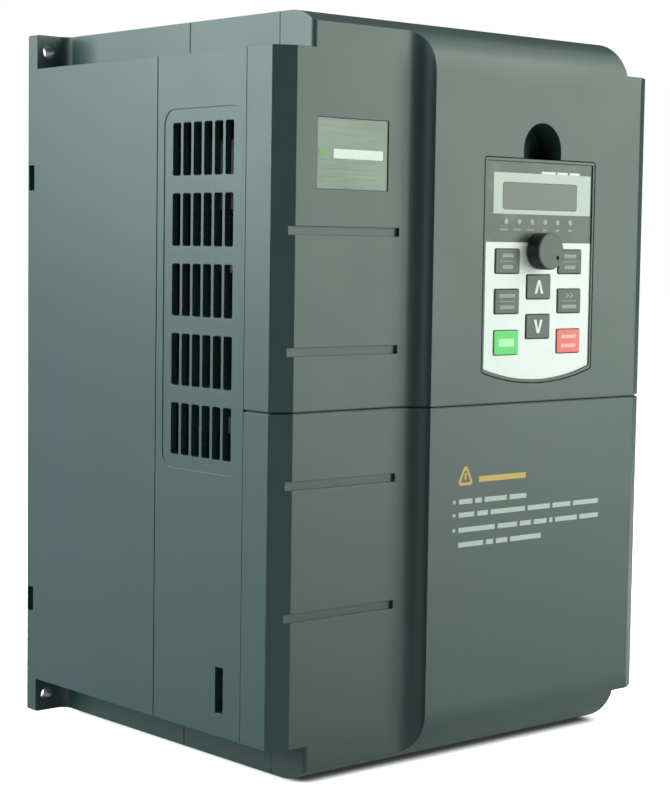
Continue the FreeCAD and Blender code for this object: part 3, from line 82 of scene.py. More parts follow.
class Shader:
    """One material and its node tree, with short calls for the nodes used here."""

    def __init__(self, name, metallic=0.0):
        self.material = bpy.data.materials.new(name)
        self.material.use_nodes = True
        self.nodes = self.material.node_tree.nodes
        self.links = self.material.node_tree.links
        self.nodes.clear()
        self.principled = self.node("ShaderNodeBsdfPrincipled")
        self.output = self.node("ShaderNodeOutputMaterial")
        self.links.new(self.principled.outputs["BSDF"], self.output.inputs["Surface"])
        self.place = self.node("ShaderNodeTexCoord").outputs["Object"]
        self.set("Metallic", metallic)

    def node(self, kind, inputs=None, **settings):
        """Adds a node, sets its properties and feeds its sockets, by name or by number."""
        made = self.nodes.new(kind)
        for key, value in settings.items():
            setattr(made, key, value)
        for key, value in (inputs or {}).items():
            self.feed(made.inputs[key], value)
        return made

    def feed(self, socket, value):
        """Links an output to a socket, or sets the socket's own value."""
        if isinstance(value, bpy.types.NodeSocket):
            self.links.new(value, socket)
        elif socket.type == "RGBA":
            socket.default_value = (*value, 1.0)
        else:
            socket.default_value = value

    def set(self, name, value):
        """Sets one property of the surface."""
        self.feed(self.principled.inputs[name], value)

    def noise(self, size, detail=2.0, stretch=(1, 1, 1)):
        """Cloud pattern whose blobs are about size metres across, longer where stretch is above 1."""
        scale = [1 / (size * amount) for amount in stretch]
        spread = self.node("ShaderNodeMapping", {"Vector": self.place, "Scale": scale})
        made = self.node("ShaderNodeTexNoise", {"Vector": spread.outputs[0], "Scale": 1.0, "Detail": detail})
        return made.outputs[0]

    def math(self, operation, first, second=0.0):
        """Result of one sum."""
        return self.node("ShaderNodeMath", {0: first, 1: second}, operation=operation).outputs[0]

    def span(self, value, low, high, start=0.0, end=1.0):
        """Value from start to end becomes low to high, smoothly."""
        inputs = {"Value": value, "From Min": start, "From Max": end, "To Min": low, "To Max": high}
        return self.node("ShaderNodeMapRange", inputs, interpolation_type="SMOOTHSTEP").outputs[0]

    def mix(self, factor, first, second):
        """First colour where the factor is 0 and the second where it is 1."""
        made = self.node("ShaderNodeMix", {0: factor, 6: first, 7: second}, data_type="RGBA")
        return made.outputs[2]

    def axis(self, name):
        """One coordinate of the place in the object's frame, in metres."""
        return self.node("ShaderNodeSeparateXYZ", {0: self.place}).outputs[name]

    def inside(self, value, low, high):
        """1 between two values and 0 outside."""
        above = self.math("GREATER_THAN", value, low)
        below = self.math("LESS_THAN", value, high)
        return self.math("MULTIPLY", above, below)

    def rounded(self, radius):
        """Normal that runs smoothly over sharp edges."""
        return self.node("ShaderNodeBevel", {"Radius": radius}, samples=4).outputs[0]

    def edges(self, rounded_normal):
        """1 on edges and 0 on flat faces."""
        flat = self.node("ShaderNodeNewGeometry").outputs["Normal"]
        dot = self.node("ShaderNodeVectorMath", {0: rounded_normal, 1: flat}, operation="DOT_PRODUCT")
        return self.span(dot.outputs["Value"], 1.0, 0.0, 0.75, 0.99)

    def bump(self, height, depth, normal=None):
        """Normal of a surface whose relief is depth metres deep."""
        inputs = {"Height": height, "Distance": depth, "Strength": 1.0}
        if normal is not None:
            inputs["Normal"] = normal
        self.set("Normal", self.node("ShaderNodeBump", inputs).outputs[0])

    def clear_from_behind(self):
        """Lets the camera look through the surface from its back, and lets light pass."""
        behind = self.node("ShaderNodeNewGeometry").outputs["Backfacing"]
        toward_light = self.node("ShaderNodeLightPath").outputs["Is Shadow Ray"]
        pass_through = self.math("MAXIMUM", behind, toward_light)
        clear = self.node("ShaderNodeBsdfTransparent").outputs[0]
        solid = self.principled.outputs["BSDF"]
        shown = self.node("ShaderNodeMixShader", {0: pass_through, 1: solid, 2: clear}).outputs[0]
        self.links.new(shown, self.output.inputs["Surface"])


def cloudy(shader, colour, spread, size):
    """Colour that drifts a little lighter and darker over the surface."""
    return shader.mix(shader.noise(size, 3.0), shade(colour, 1 - spread), shade(colour, 1 + spread))


# ===================================================================== materials


GLOSS_SPREAD = 0.015


def plastic(name, colour, roughness=0.4, grain=0.3 * MM, relief=0.01 * MM, radius=0.35 * MM):
    """Moulded plastic with fine spark texture, faint clouds, and rounded edges that carry a patchy painted
    highlight.
    """
    shader = Shader(name)
    normal = shader.rounded(radius)
    patchy = shader.span(shader.noise(6 * MM, 4.0), 0.1, 0.5, 0.4, 0.7)
    painted_edge_highlight = shader.math("MULTIPLY", shader.edges(normal), patchy)
    base = cloudy(shader, colour, 0.03, 40 * MM)
    # Painted highlight: the base colour turns lighter in patches along the edges.
    shader.set("Base Color", shader.mix(painted_edge_highlight, base, shade(colour, 2.2)))
    smudge = shader.noise(25 * MM, 5.0)
    shader.set("Roughness", shader.span(smudge, roughness - GLOSS_SPREAD, roughness + GLOSS_SPREAD, 0.3, 0.7))
    shader.bump(shader.noise(grain, 2.0), relief, normal)
    return shader


def metal(name, colour, roughness, stretch=(1, 1, 1), size=0.6 * MM):
    """Bare metal with streaks along the direction of stretch and brighter edges."""
    shader = Shader(name, metallic=1.0)
    normal = shader.rounded(0.2 * MM)
    streaks = shader.noise(size, 3.0, stretch)
    base = shader.mix(streaks, shade(colour, 0.85), shade(colour, 1.1))
    shader.set("Base Color", shader.mix(shader.edges(normal), base, shade(colour, 1.3)))
    shader.set("Roughness", shader.span(streaks, roughness - 0.08, roughness + 0.1, 0.3, 0.7))
    shader.bump(streaks, 0.01 * MM, normal)
    return shader


def knob_with_painted_flank_shade(name):
    """Near-black flank, which is painted shade, and a greyer face that keeps the plastic's painted edge
    highlight.
    """
    face_edge_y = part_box("knob")[0].y + 0.6 * MM
    shader = plastic(name, (0.03, 0.04, 0.037), 0.4, radius=0.3 * MM)
    face = shader.principled.inputs["Base Color"].links[0].from_socket
    on_face = shader.math("LESS_THAN", shader.axis("Y"), face_edge_y)
    # Painted shade: the flank gets a near-black colour, and the face keeps the plastic colour.
    shader.set("Base Color", shader.mix(on_face, (0.006, 0.009, 0.008), face))
    return shader


def circuit_board(name):
    """Green board: darker copper traces under the lacquer, and lighter flecks of glass weave."""
    shader = Shader(name)
    traces = shader.node("ShaderNodeTexVoronoi", {"Vector": shader.place, "Scale": 1 / (4 * MM)},
                         distance="MANHATTAN", feature="F1")
    track = shader.span(traces.outputs[0], 1.0, 0.0, 0.42, 0.5)
    lacquer = shader.mix(track, (0.012, 0.075, 0.035), (0.02, 0.13, 0.055))
    weave = shader.span(shader.noise(0.5 * MM, 2.0), 0.0, 0.25, 0.5, 0.7)
    shader.set("Base Color", shader.mix(weave, lacquer, (0.05, 0.18, 0.09)))
    shader.set("Roughness", shader.span(track, 0.28, 0.38))
    shader.set("Coat Weight", 0.4)
    shader.bump(track, 0.03 * MM)
    return shader


def capacitor_sleeve(name):
    """Shrunk sleeve: glossy dark blue, slightly uneven."""
    shader = Shader(name)
    shader.set("Base Color", cloudy(shader, (0.012, 0.02, 0.06), 0.25, 12 * MM))
    shader.set("Roughness", shader.span(shader.noise(5 * MM, 4.0), 0.18, 0.34))
    shader.bump(shader.noise(7 * MM, 2.0), 0.15 * MM, shader.rounded(0.6 * MM))
    return shader


OVERLAY_DARK = (0.034, 0.044, 0.04)
OVERLAY_FRAME = (0.37, 0.41, 0.385)
OVERLAY_WHITE = (0.62, 0.63, 0.63)


def overlay_print(name):
    """Printed front film of the keypad: dark upper field with a pale display frame, white lower field."""
    window_low, window_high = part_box("display_window")
    knob_low, knob_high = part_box("knob")
    white_top_z = (knob_low.z + knob_high.z) / 2 + 3.3 * MM
    shader = Shader(name)
    x = shader.axis("X")
    z = shader.axis("Z")
    frame_x = shader.inside(x, window_low.x - 5.0 * MM, window_high.x + 8.0 * MM)
    frame_z = shader.inside(z, window_low.z - 1.8 * MM, window_high.z + 3.7 * MM)
    upper = shader.mix(shader.math("MULTIPLY", frame_x, frame_z), OVERLAY_DARK, OVERLAY_FRAME)
    field = shader.mix(shader.math("LESS_THAN", z, white_top_z), upper, OVERLAY_WHITE)
    dull = shader.span(shader.noise(9 * MM, 4.0), 0.0, 0.12, 0.5, 0.8)
    shader.set("Base Color", shader.mix(dull, field, grey(0.4)))
    shader.set("Roughness", shader.span(shader.noise(14 * MM, 4.0), 0.3, 0.42))
    shader.bump(shader.noise(0.15 * MM, 1.0), 0.004 * MM, shader.rounded(0.15 * MM))
    return shader


def display_filter(name):
    """Smoked filter over the digits."""
    shader = Shader(name)
    shader.set("Base Color", cloudy(shader, (0.05, 0.062, 0.055), 0.05, 10 * MM))
    shader.set("Roughness", shader.span(shader.noise(8 * MM, 3.0), 0.2, 0.3))
    shader.bump(shader.noise(0.3 * MM, 1.0), 0.002 * MM, shader.rounded(0.2 * MM))
    return shader


def indicator(name):
    """Small unlit lens of milky plastic."""
    shader = Shader(name)
    shader.set("Base Color", cloudy(shader, (0.19, 0.225, 0.205), 0.1, 1 * MM))
    shader.set("Roughness", shader.span(shader.noise(1 * MM), 0.15, 0.3))
    shader.set("Subsurface Weight", 0.2)
    shader.set("Subsurface Scale", 0.5 * MM)
    return shader


def brushed_plate(name):
    """Name plate of brushed metal film, with a cloudy sheen."""
    shader = Shader(name, metallic=0.35)
    brush = shader.noise(0.25 * MM, 3.0, (40, 1, 1))
    base = shader.mix(shader.noise(18 * MM, 2.0), (0.1, 0.129, 0.11), (0.144, 0.172, 0.139))
    in_stroke = shader.mix(0.92, grey(0.0), base)
    shader.set("Base Color", shader.mix(brush, in_stroke, base))
    shader.set("Roughness", shader.span(brush, 0.32, 0.46, 0.3, 0.7))
    shader.bump(brush, 0.004 * MM, shader.rounded(0.15 * MM))
    return shader


def paper_label(name):
    """Blank rating label of white satin film."""
    shader = Shader(name)
    shader.set("Base Color", cloudy(shader, (0.72, 0.74, 0.73), 0.04, 15 * MM))
    shader.set("Roughness", shader.span(shader.noise(6 * MM, 4.0), 0.35, 0.5))
    shader.bump(shader.noise(0.4 * MM, 3.0), 0.003 * MM)
    return shader


def printed_ink(name, colour):
    """Ink of the printed marks, slightly worn."""
    shader = Shader(name)
    wear = shader.span(shader.noise(0.7 * MM, 3.0), 0.0, 0.35, 0.55, 0.75)
    shader.set("Base Color", shader.mix(wear, colour, shade(colour, 0.6)))
    shader.set("Roughness", shader.span(shader.noise(2 * MM, 2.0), 0.42, 0.55))
    shader.bump(shader.noise(0.3 * MM, 2.0), 0.004 * MM)
    return shader


HOUSING = (0.025, 0.047, 0.046)

MATERIALS = {
    "housing": lambda name: plastic(name, HOUSING, 0.38),
    "name_plate": brushed_plate,
    "label": paper_label,
    "screw_steel": lambda name: metal(name, (0.55, 0.55, 0.52), 0.34),
    "aluminium": lambda name: metal(name, (0.62, 0.63, 0.64), 0.42, (1, 1, 60)),
    "module_plastic": lambda name: plastic(name, (0.02, 0.021, 0.022), 0.5),
    "standoff_brass": lambda name: metal(name, (0.72, 0.5, 0.2), 0.3, (1, 12, 1)),
    "circuit_board": circuit_board,
    "capacitor_sleeve": capacitor_sleeve,
    "black_plastic": lambda name: plastic(name, (0.018, 0.019, 0.02), 0.46),
    "ceramic_case": lambda name: plastic(name, (0.62, 0.6, 0.54), 0.7, relief=0.03 * MM),
    "ferrite": lambda name: plastic(name, (0.03, 0.03, 0.032), 0.62, relief=0.03 * MM),
    "terminal_green": lambda name: plastic(name, (0.015, 0.16, 0.06), 0.4),
    "ribbon_grey": lambda name: plastic(name, (0.36, 0.37, 0.38), 0.5),
    "grommet_rubber": lambda name: plastic(name, (0.015, 0.015, 0.015), 0.66, grain=0.15 * MM),
    "keypad_case": lambda name: plastic(name, (0.045, 0.066, 0.06), 0.4),
    "overlay": overlay_print,
    "display_dark": lambda name: plastic(name, (0.03, 0.032, 0.032), 0.4),
    "window": display_filter,
    "indicator": indicator,
    "silicone": lambda name: plastic(name, (0.3, 0.31, 0.3), 0.62, relief=0.004 * MM),
    "knob": knob_with_painted_flank_shade,
    "shaft_metal": lambda name: metal(name, (0.6, 0.6, 0.58), 0.28),
    "key_grey": lambda name: plastic(name, (0.042, 0.055, 0.05), 0.42, radius=0.3 * MM),
    "key_green": lambda name: plastic(name, (0.05, 0.5, 0.085), 0.4, radius=0.3 * MM),
    "key_red": lambda name: plastic(name, (0.63, 0.095, 0.078), 0.4, radius=0.3 * MM),
}


def paint_frame():
    """Gives every CAD node the material of its slot in the record."""
    made = {slot: maker(slot).material for slot, maker in MATERIALS.items()}
    for part in frame["record"]["subparts"]:
        node = frame["nodes"][part["node"]]
        node.data.materials.clear()
        node.data.materials.append(made[part["material_slot"]])


# ================================================================= printed marks

INK_THICK = 0.04 * MM


def bar(centre_x, centre_z, width, height):
    """Outline of an upright rectangle."""
    x0, x1 = centre_x - width / 2, centre_x + width / 2
    z0, z1 = centre_z - height / 2, centre_z + height / 2
    return [(x0, z0), (x1, z0), (x1, z1), (x0, z1)]


def dot(centre_x, centre_z, radius, steps=16):
    """Outline of a disc."""
    turns = [2 * math.pi * step / steps for step in range(steps)]
    return [(centre_x + radius * math.cos(turn), centre_z + radius * math.sin(turn)) for turn in turns]


def chevron(centre_x, centre_z, width, height, stroke, turn=0.0):
    """Outline of a roof-shaped stroke that points up, turned counterclockwise by turn degrees."""
    half = width / 2
    low, high = -height / 2, height / 2
    points = [(-half, low), (-half + stroke, low), (0, high - stroke), (half - stroke, low), (half, low),
              (stroke / 2, high), (-stroke / 2, high)]
    cos, sin = math.cos(math.radians(turn)), math.sin(math.radians(turn))
    return [(centre_x + x * cos - z * sin, centre_z + x * sin + z * cos) for x, z in points]


def rounded_corner(before, corner, after, radius, steps=5):
    """Points of the arc that rounds one corner of an outline."""
    corner = Vector(corner)
    along_in = (Vector(before) - corner).normalized()
    along_out = (Vector(after) - corner).normalized()
    half = along_in.angle(along_out) / 2
    centre = corner + (along_in + along_out).normalized() * (radius / math.sin(half))
    start = (corner + along_in * (radius / math.tan(half)) - centre).normalized()
    end = (corner + along_out * (radius / math.tan(half)) - centre).normalized()
    return [tuple(centre + start.slerp(end, step / steps) * radius) for step in range(steps + 1)]


def rounded_outline(corners, radius):
    """Outline with every corner rounded."""
    points = []
    for index, corner in enumerate(corners):
        after = corners[(index + 1) % len(corners)]
        points += rounded_corner(corners[index - 1], corner, after, radius)
    return points


def add_loop(mesh, outline, y):
    return [mesh.verts.new((x, y, z)) for x, z in outline]


def add_prism(mesh, outline, y_back, y_front):
    """Closed flat solid with one outline."""
    back = add_loop(mesh, outline, y_back)
    front = add_loop(mesh, outline, y_front)
    mesh.faces.new(back)
    mesh.faces.new(front)
    for index in range(len(outline)):
        mesh.faces.new((back[index - 1], back[index], front[index], front[index - 1]))


def add_band(mesh, outer, inner, y_back, y_front):
    """Closed flat ring between two outlines that have the same number of points."""
    loops = [add_loop(mesh, outline, y) for outline, y in
             ((outer, y_back), (outer, y_front), (inner, y_front), (inner, y_back))]
    for first, second in zip(loops, loops[1:] + loops[:1]):
        for index in range(len(outer)):
            mesh.faces.new((first[index - 1], first[index], second[index], second[index - 1]))


def add_object(name, mesh, material):
    """Object with one material, made from a mesh that is finished."""
    data = bpy.data.meshes.new(name)
    mesh.to_mesh(data)
    mesh.free()
    data.materials.append(material)
    made = bpy.data.objects.new(name, data)
    bpy.context.scene.collection.objects.link(made)
    return made


def print_piece(name, body, material, mesh):
    """Piece of ink, made from closed solids, that moves with its body."""
    bmesh.ops.recalc_face_normals(mesh, faces=mesh.faces)
    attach(add_object(name, mesh, material), body)


def print_marks(name, body, material, face_y, solids=(), bands=()):
    """One piece of thin ink on a face that looks to -Y. Solids are outlines, bands are pairs of them."""
    mesh = bmesh.new()
    for outline in solids:
        add_prism(mesh, outline, face_y, face_y - INK_THICK)
    for outer, inner in bands:
        add_band(mesh, outer, inner, face_y, face_y - INK_THICK)
    print_piece(name, body, material, mesh)


def words(left_x, centre_z, lengths, gap, height):
    """Row of plain bars that stand for the words of a line."""
    bars = []
    for length in lengths:
        bars.append(bar(left_x + length / 2, centre_z, length, height))
        left_x += length + gap
    return bars


KEY_ROW_Z = 2.2 * MM
KEY_WORD_WIDTH = 8.4 * MM
KEY_WORD_HEIGHT = 1.4 * MM
KEY_RULE_WIDTH = 8.8 * MM
KEY_RULE_HEIGHT = 0.3 * MM


def key_face(node):
    """Middle of a key's face, as x, z and y."""
    low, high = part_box(node)
    return (low.x + high.x) / 2, (low.z + high.z) / 2, low.y


def mark_arrow_keys(inks):
    """Arrow heads on the keys that move a value up and down."""
    for node, turn in (("key_up", 0), ("key_down", 180)):
        x, z, y = key_face(node)
        arrow = chevron(x, z, 4.8 * MM, 5.2 * MM, 1.35 * MM, turn)
        print_marks(node + "_print", node, inks["bright"], y, [arrow])


def mark_word_keys(inks):
    """Two plain bars, with a rule between them, in place of the words on the grey keys."""
    for node, width in (("key_program", 6.2 * MM), ("key_enter", 7.0 * MM), ("key_jog", 8.8 * MM)):
        x, z, y = key_face(node)
        upper_word = bar(x, z + KEY_ROW_Z, width, KEY_WORD_HEIGHT)
        rule = bar(x, z, KEY_RULE_WIDTH, KEY_RULE_HEIGHT)
        lower_word = bar(x, z - KEY_ROW_Z, width - 0.8 * MM, KEY_WORD_HEIGHT)
        print_marks(node + "_print", node, inks["faint"], y, [upper_word, rule, lower_word])


def mark_shift_key(inks):
    """Two small arrow heads above a rule and a plain bar."""
    x, z, y = key_face("key_shift")
    marks = []
    for side in (-1, 1):
        marks.append(chevron(x + side * 1.3 * MM, z + KEY_ROW_Z, 2.2 * MM, 1.7 * MM, 0.55 * MM, -90))
    marks.append(bar(x, z, KEY_RULE_WIDTH, KEY_RULE_HEIGHT))
    marks.append(bar(x, z - KEY_ROW_Z, KEY_WORD_WIDTH, KEY_WORD_HEIGHT))
    print_marks("key_shift_print", "key_shift", inks["faint"], y, marks)


def mark_run_and_stop_keys(inks):
    """One tall bar on the green key, two bars on the red one."""
    x, z, y = key_face("key_run")
    print_marks("key_run_print", "key_run", inks["pale_green"], y, [bar(x, z, KEY_WORD_WIDTH, 3.0 * MM)])
    x, z, y = key_face("key_stop")
    rows = [bar(x, z + side * 0.8 * KEY_ROW_Z, KEY_WORD_WIDTH, KEY_WORD_HEIGHT) for side in (1, -1)]
    print_marks("key_stop_print", "key_stop", inks["pale_red"], y, rows)


LIGHT_COUNT = 6


def mark_overlay(inks):
    """Short bars under the lights, longer under the left three, and one line above the display."""
    low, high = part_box("indicator_lights")
    face_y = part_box("keypad_overlay")[0].y
    radius = (high.z - low.z) / 2
    pitch = (high.x - low.x - 2 * radius) / (LIGHT_COUNT - 1)
    marks = []
    for index in range(LIGHT_COUNT):
        light_x = low.x + radius + index * pitch
        if index < LIGHT_COUNT / 2:
            marks.append(bar(light_x - 1.2 * MM, low.z - 2.0 * MM, 4.6 * MM, 0.8 * MM))
        else:
            marks.append(bar(light_x, low.z - 2.0 * MM, 2.0 * MM, 0.8 * MM))
    print_marks("overlay_print_lines", "keypad", inks["faint"], face_y, marks)

    window_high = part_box("display_window")[1]
    title_x = window_high.x - 20.5 * MM
    title = words(title_x, window_high.z + 4.2 * MM, [8 * MM, 6 * MM, 6 * MM], 1 * MM, 0.9 * MM)
    print_marks("overlay_print_title", "keypad", inks["bright"], face_y, title)


NOTICE_LEFT_X = -15.5 * MM
SIGN_DROP = 30.3 * MM
SIGN_HALF_WIDTH = 4.4 * MM
SIGN_HEIGHT = 8.8 * MM
SIGN_HOLE_SCALE = 0.62
LETTER = 1.16 * MM
WORD_GAP = 1.6 * MM
WORD_HEIGHT = 1.9 * MM
BULLET_RADIUS = 0.75 * MM
NOTICE_INDENT = 4.0 * MM

# Each line: how far it is below the top of the cover, whether a bullet starts it, words in letters.
NOTICE_LINES = (
    (36.5 * MM, True, (6.2, 3.0, 10.5, 8.2)),
    (41.6 * MM, True, (7.2, 5.0, 16.5, 11.0, 9.0, 13.0)),
    (47.4 * MM, True, (17.0, 9.4, 5.4, 6.4, 1.6, 11.0, 9.6)),
    (53.1 * MM, False, (11.6, 3.4, 5.4, 15.0)),
)


def mark_warning_sign(inks):
    """Plain warning triangle with a stroke in it, and a bar in place of its word."""
    low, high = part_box("lower_cover")
    x = NOTICE_LEFT_X + 7.3 * MM
    base_z = high.z - SIGN_DROP
    middle = Vector((x, base_z + SIGN_HEIGHT / 3))
    corners = [(x - SIGN_HALF_WIDTH, base_z), (x + SIGN_HALF_WIDTH, base_z), (x, base_z + SIGN_HEIGHT)]
    hole = [middle + (Vector(corner) - middle) * SIGN_HOLE_SCALE for corner in corners]
    triangle = (rounded_outline(corners, 1.2 * MM), rounded_outline(hole, 0.6 * MM))
    stroke = bar(x, base_z + 3.4 * MM, 1.0 * MM, 2.6 * MM)
    heading = bar(NOTICE_LEFT_X + 27.5 * MM, base_z + 1.9 * MM, 26 * MM, 2.2 * MM)
    print_marks("cover_print_amber", "lower_cover", inks["amber"], low.y, [stroke, heading], [triangle])


def mark_notice(inks):
    """Four lines of plain bars in place of the printed notice."""
    low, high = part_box("lower_cover")
    marks = []
    for drop, bullet, letters in NOTICE_LINES:
        z = high.z - drop
        if bullet:
            marks.append(dot(NOTICE_LEFT_X + 2 * BULLET_RADIUS, z, BULLET_RADIUS))
        lengths = [count * LETTER for count in letters]
        marks += words(NOTICE_LEFT_X + NOTICE_INDENT, z, lengths, WORD_GAP, WORD_HEIGHT)
    print_marks("cover_print_lines", "lower_cover", inks["pale"], low.y, marks)


def mark_name_plate(inks):
    """Blank plate: a small green tile and a pale bar in place of a name."""
    low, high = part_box("name_plate")
    middle_z = (low.z + high.z) / 2
    tile = rounded_outline(bar(low.x + 3.4 * MM, middle_z, 4.6 * MM, 3.8 * MM), 0.9 * MM)
    print_marks("plate_print_tile", "upper_cover", inks["leaf"], low.y, [tile])
    strip = bar(low.x + 20 * MM, middle_z, 24 * MM, 3.4 * MM)
    print_marks("plate_print_bar", "upper_cover", inks["bright"], low.y, [strip])


def add_block(mesh, low, high):
    """Closed box between two corners."""
    low, high = Vector(low), Vector(high)
    place = Matrix.Translation((low + high) / 2) @ Matrix.Diagonal((*(high - low), 1.0))
    bmesh.ops.create_cube(mesh, size=1.0, matrix=place)


LABEL_MARGIN = 4 * MM
LABEL_ROWS = 7
LABEL_BAR_HEIGHT = 1.4 * MM


def mark_label(inks):
    """Seven rows of two bars on the rating label, which is on the right side."""
    low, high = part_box("rating_label")
    inner_x = high.x - INK_THICK / 2
    outer_x = high.x + INK_THICK
    step = (high.z - low.z - 2 * LABEL_MARGIN) / LABEL_ROWS
    mesh = bmesh.new()
    for row in range(LABEL_ROWS):
        z = high.z - LABEL_MARGIN - (row + 0.5) * step
        ragged_end = high.y - LABEL_MARGIN - (row % 3) * 5 * MM
        for start_y, end_y in ((low.y + LABEL_MARGIN, low.y + 20 * MM), (low.y + 24 * MM, ragged_end)):
            add_block(mesh, (inner_x, start_y, z), (outer_x, end_y, z + LABEL_BAR_HEIGHT))
    print_piece("label_print", "chassis", inks["dark"], mesh)


INK_COLOURS = {
    "bright": (0.62, 0.68, 0.65),
    "pale": (0.33, 0.39, 0.37),
    "faint": (0.2, 0.24, 0.225),
    "amber": (0.45, 0.285, 0.05),
    "pale_green": (0.35, 0.8, 0.38),
    "pale_red": (0.8, 0.33, 0.3),
    "leaf": (0.14, 0.3, 0.12),
    "dark": (0.05, 0.05, 0.05),
}


def print_everything():
    """Puts every printed mark on the drive."""
    inks = {key: printed_ink("ink_" + key, colour).material for key, colour in INK_COLOURS.items()}
    mark_arrow_keys(inks)
    mark_word_keys(inks)
    mark_shift_key(inks)
    mark_run_and_stop_keys(inks)
    mark_overlay(inks)
    mark_warning_sign(inks)
    mark_notice(inks)
    mark_name_plate(inks)
    mark_label(inks)


# ============================================================ stage, light, camera

# Light, in metres and in tints of white.
LEFT_TINT = (0.87, 1.0, 0.985)
RIGHT_TINT = (0.90, 1.0, 0.90)
NO_TINT = (1.0, 1.0, 1.0)
WORLD_STRENGTH = 0.05
UNDERLIGHT_SIZE = (0.17, 0.14)
UNDERLIGHT_DROP = 0.25

# Floor. The drive stands on its middle, because its lower edges are rounded and stepped back.
FLOOR_HALF = 6.0
FLOOR_GAP = 0.2 * MM
UNDERCUT = 21 * MM
# The painted shadow on the floor fades out over this width.
SHADOW_WIDE = 12 * MM
BOUNCE_LEFT = 0.28
BOUNCE_RIGHT = 0.85
BOUNCE_CHANGE_X = (-100 * MM, 40 * MM)

# Camera. It looks at a point near the middle of the drive.
CAMERA_LENS = 89.25
CAMERA_SENSOR = 36.0
CAMERA_DISTANCE = 0.83
CAMERA_AIM = Vector((3.58, 7.92, -8.33)) * MM
CAMERA_TURN = math.radians(41.162)
CAMERA_TILT = math.radians(4.404)
CAMERA_ROLL = math.radians(-0.84)


def away_from_drive(shader):
    """How far a place on the floor is from the part of the floor that the drive stands on."""
    low, high = cad_box
    middle = (low + high) / 2
    half = (high - low) / 2
    squares = []
    for name, centre, reach in (("X", middle.x, half.x - UNDERCUT), ("Y", middle.y, half.y - UNDERCUT)):
        offset = shader.math("ABSOLUTE", shader.math("SUBTRACT", shader.axis(name), centre))
        outside = shader.math("MAXIMUM", shader.math("SUBTRACT", offset, reach), 0.0)
        squares.append(shader.math("MULTIPLY", outside, outside))
    return shader.math("SQRT", shader.math("ADD", *squares))


def floor_paint():
    """Plain pale floor, white to the camera, with a painted shadow where the drive nearly touches it.

    To the light it is darker, most of all on the left, so that it fills the shadows only a little.
    """
    shader = Shader("floor_white")
    seen = shader.node("ShaderNodeLightPath").outputs["Is Camera Ray"]
    away = away_from_drive(shader)
    # Painted shadow: to the camera the floor is darker near the drive and glows white only farther away.
    near = shader.span(away, 0.2, 1.0, 0.0, SHADOW_WIDE)
    tone_with_painted_shadow = shader.mix(near, grey(0.0), cloudy(shader, grey(1.0), 0.01, 0.5))
    on_right = shader.span(shader.axis("X"), 0.0, 1.0, *BOUNCE_CHANGE_X)
    bounce = shader.mix(on_right, grey(BOUNCE_LEFT), grey(BOUNCE_RIGHT))
    shader.set("Base Color", shader.mix(seen, bounce, tone_with_painted_shadow))
    shader.set("Roughness", 0.7)
    shader.set("Specular IOR Level", 0.1)
    glow = shader.span(away, 0.01, 1.0, 1 * MM, SHADOW_WIDE + 1 * MM)
    shader.set("Emission Color", grey(1.0))
    shader.set("Emission Strength", shader.math("MULTIPLY", seen, glow))
    shader.clear_from_behind()
    return shader


def floor():
    """Wide plane just under the drive."""
    mesh = bmesh.new()
    bmesh.ops.create_grid(mesh, x_segments=1, y_segments=1, size=FLOOR_HALF)
    plane = add_object("floor", mesh, floor_paint().material)
    plane.location.z = cad_box[0].z - FLOOR_GAP


def direction(azimuth, elevation):
    """Unit vector away from the drive. Azimuth 0 is to the front, and 90 degrees to the right."""
    flat = math.cos(elevation)
    return Vector((math.sin(azimuth) * flat, -math.cos(azimuth) * flat, math.sin(elevation)))


def area_light(name, size, radiance, tint):
    """Rectangular light that the camera doesn't see."""
    width, height = size
    light = bpy.data.lights.new(name, "AREA")
    light.shape = "RECTANGLE"
    light.size = width
    light.size_y = height
    light.energy = radiance * math.pi * width * height
    light.color = tint
    lamp = bpy.data.objects.new(name, light)
    lamp.visible_camera = False
    bpy.context.scene.collection.objects.link(lamp)
    return lamp


def softbox(name, azimuth, elevation, distance, size, radiance, tint):
    """Large light that faces the drive, at angles in degrees."""
    lamp = area_light(name, size, radiance, tint)
    toward = direction(math.radians(azimuth), math.radians(elevation))
    lamp.location = toward * distance
    lamp.rotation_mode = "QUATERNION"
    lamp.rotation_quaternion = toward.to_track_quat("Z", "Y")


def underlight():
    """Small light below the floor, inside the drive's outline, that shows only what faces down."""
    lamp = area_light("underlight", UNDERLIGHT_SIZE, radiance=5.5, tint=LEFT_TINT)
    low, high = cad_box
    lamp.location = ((low.x + high.x) / 2, (low.y + high.y) / 2, low.z - UNDERLIGHT_DROP)
    lamp.rotation_euler = (math.pi, 0, 0)


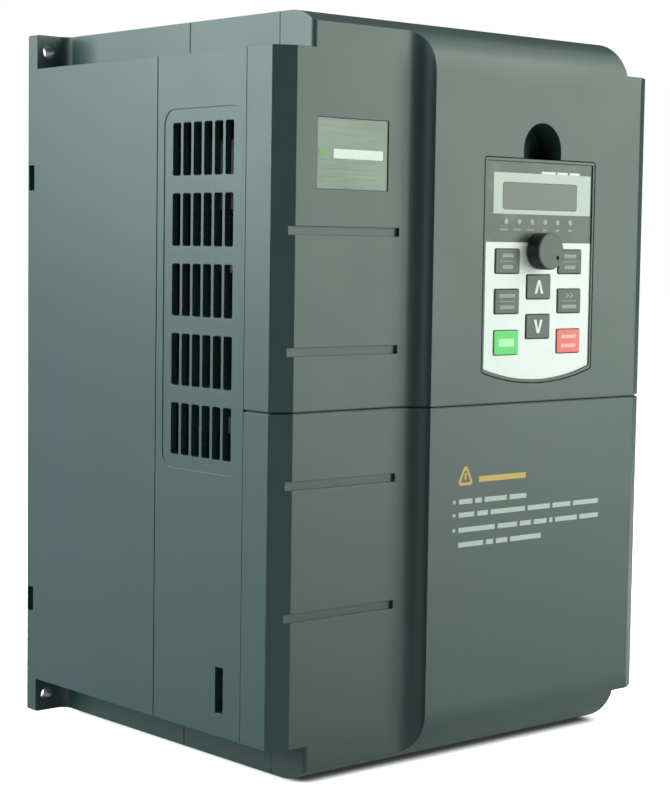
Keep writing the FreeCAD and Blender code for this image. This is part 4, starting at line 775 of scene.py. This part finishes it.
def lights():
    """A large light for each side that the camera sees, and weaker ones that fill the edges between."""
    softbox("left_softbox", -116, 28, distance=1.3, size=(1.3, 1.3), radiance=7.8, tint=LEFT_TINT)
    softbox("right_softbox", 38, 17, distance=1.4, size=(1.0, 1.5), radiance=4.85, tint=RIGHT_TINT)
    softbox("left_fill", -72, 14, distance=1.4, size=(0.6, 1.3), radiance=1.3, tint=LEFT_TINT)
    softbox("high_right_softbox", 64, 44, distance=1.4, size=(0.9, 0.6), radiance=1.7, tint=RIGHT_TINT)
    softbox("top_softbox", 0, 88, distance=1.6, size=(1.6, 1.6), radiance=1.7, tint=NO_TINT)
    underlight()


def world():
    """White behind the drive for the camera, dim for the surfaces that mirror it."""
    made = bpy.data.worlds.new("studio")
    bpy.context.scene.world = made
    made.use_nodes = True
    nodes = made.node_tree.nodes
    links = made.node_tree.links
    nodes.clear()
    ray = nodes.new("ShaderNodeLightPath")
    seen = nodes.new("ShaderNodeBackground")
    seen.inputs["Color"].default_value = (*NO_TINT, 1)
    dim = nodes.new("ShaderNodeBackground")
    dim.inputs["Color"].default_value = (*LEFT_TINT, 1)
    dim.inputs["Strength"].default_value = WORLD_STRENGTH
    choose = nodes.new("ShaderNodeMixShader")
    output = nodes.new("ShaderNodeOutputWorld")
    links.new(ray.outputs["Is Camera Ray"], choose.inputs[0])
    links.new(dim.outputs[0], choose.inputs[1])
    links.new(seen.outputs[0], choose.inputs[2])
    links.new(choose.outputs[0], output.inputs["Surface"])


def camera():
    """Camera before the drive's left edge, a little above its middle, looking slightly down."""
    data = bpy.data.cameras.new("camera")
    data.sensor_width = CAMERA_SENSOR
    data.lens = CAMERA_LENS
    back = direction(-CAMERA_TURN, CAMERA_TILT)
    right = Vector((0, 0, 1)).cross(back).normalized()
    level = Matrix((right, back.cross(right), back)).transposed()
    rolled = level @ Matrix.Rotation(CAMERA_ROLL, 3, "Z").transposed()
    aim = (cad_box[0] + cad_box[1]) / 2 + CAMERA_AIM
    view = bpy.data.objects.new("camera", data)
    view.matrix_world = Matrix.Translation(aim + back * CAMERA_DISTANCE) @ rolled.to_4x4()
    bpy.context.scene.collection.objects.link(view)
    bpy.context.scene.camera = view


def studio():
    """Floor, light, background and camera."""
    floor()
    world()
    lights()
    camera()
    bpy.context.scene.view_settings.view_transform = "Standard"


paint_frame()
print_everything()
studio()
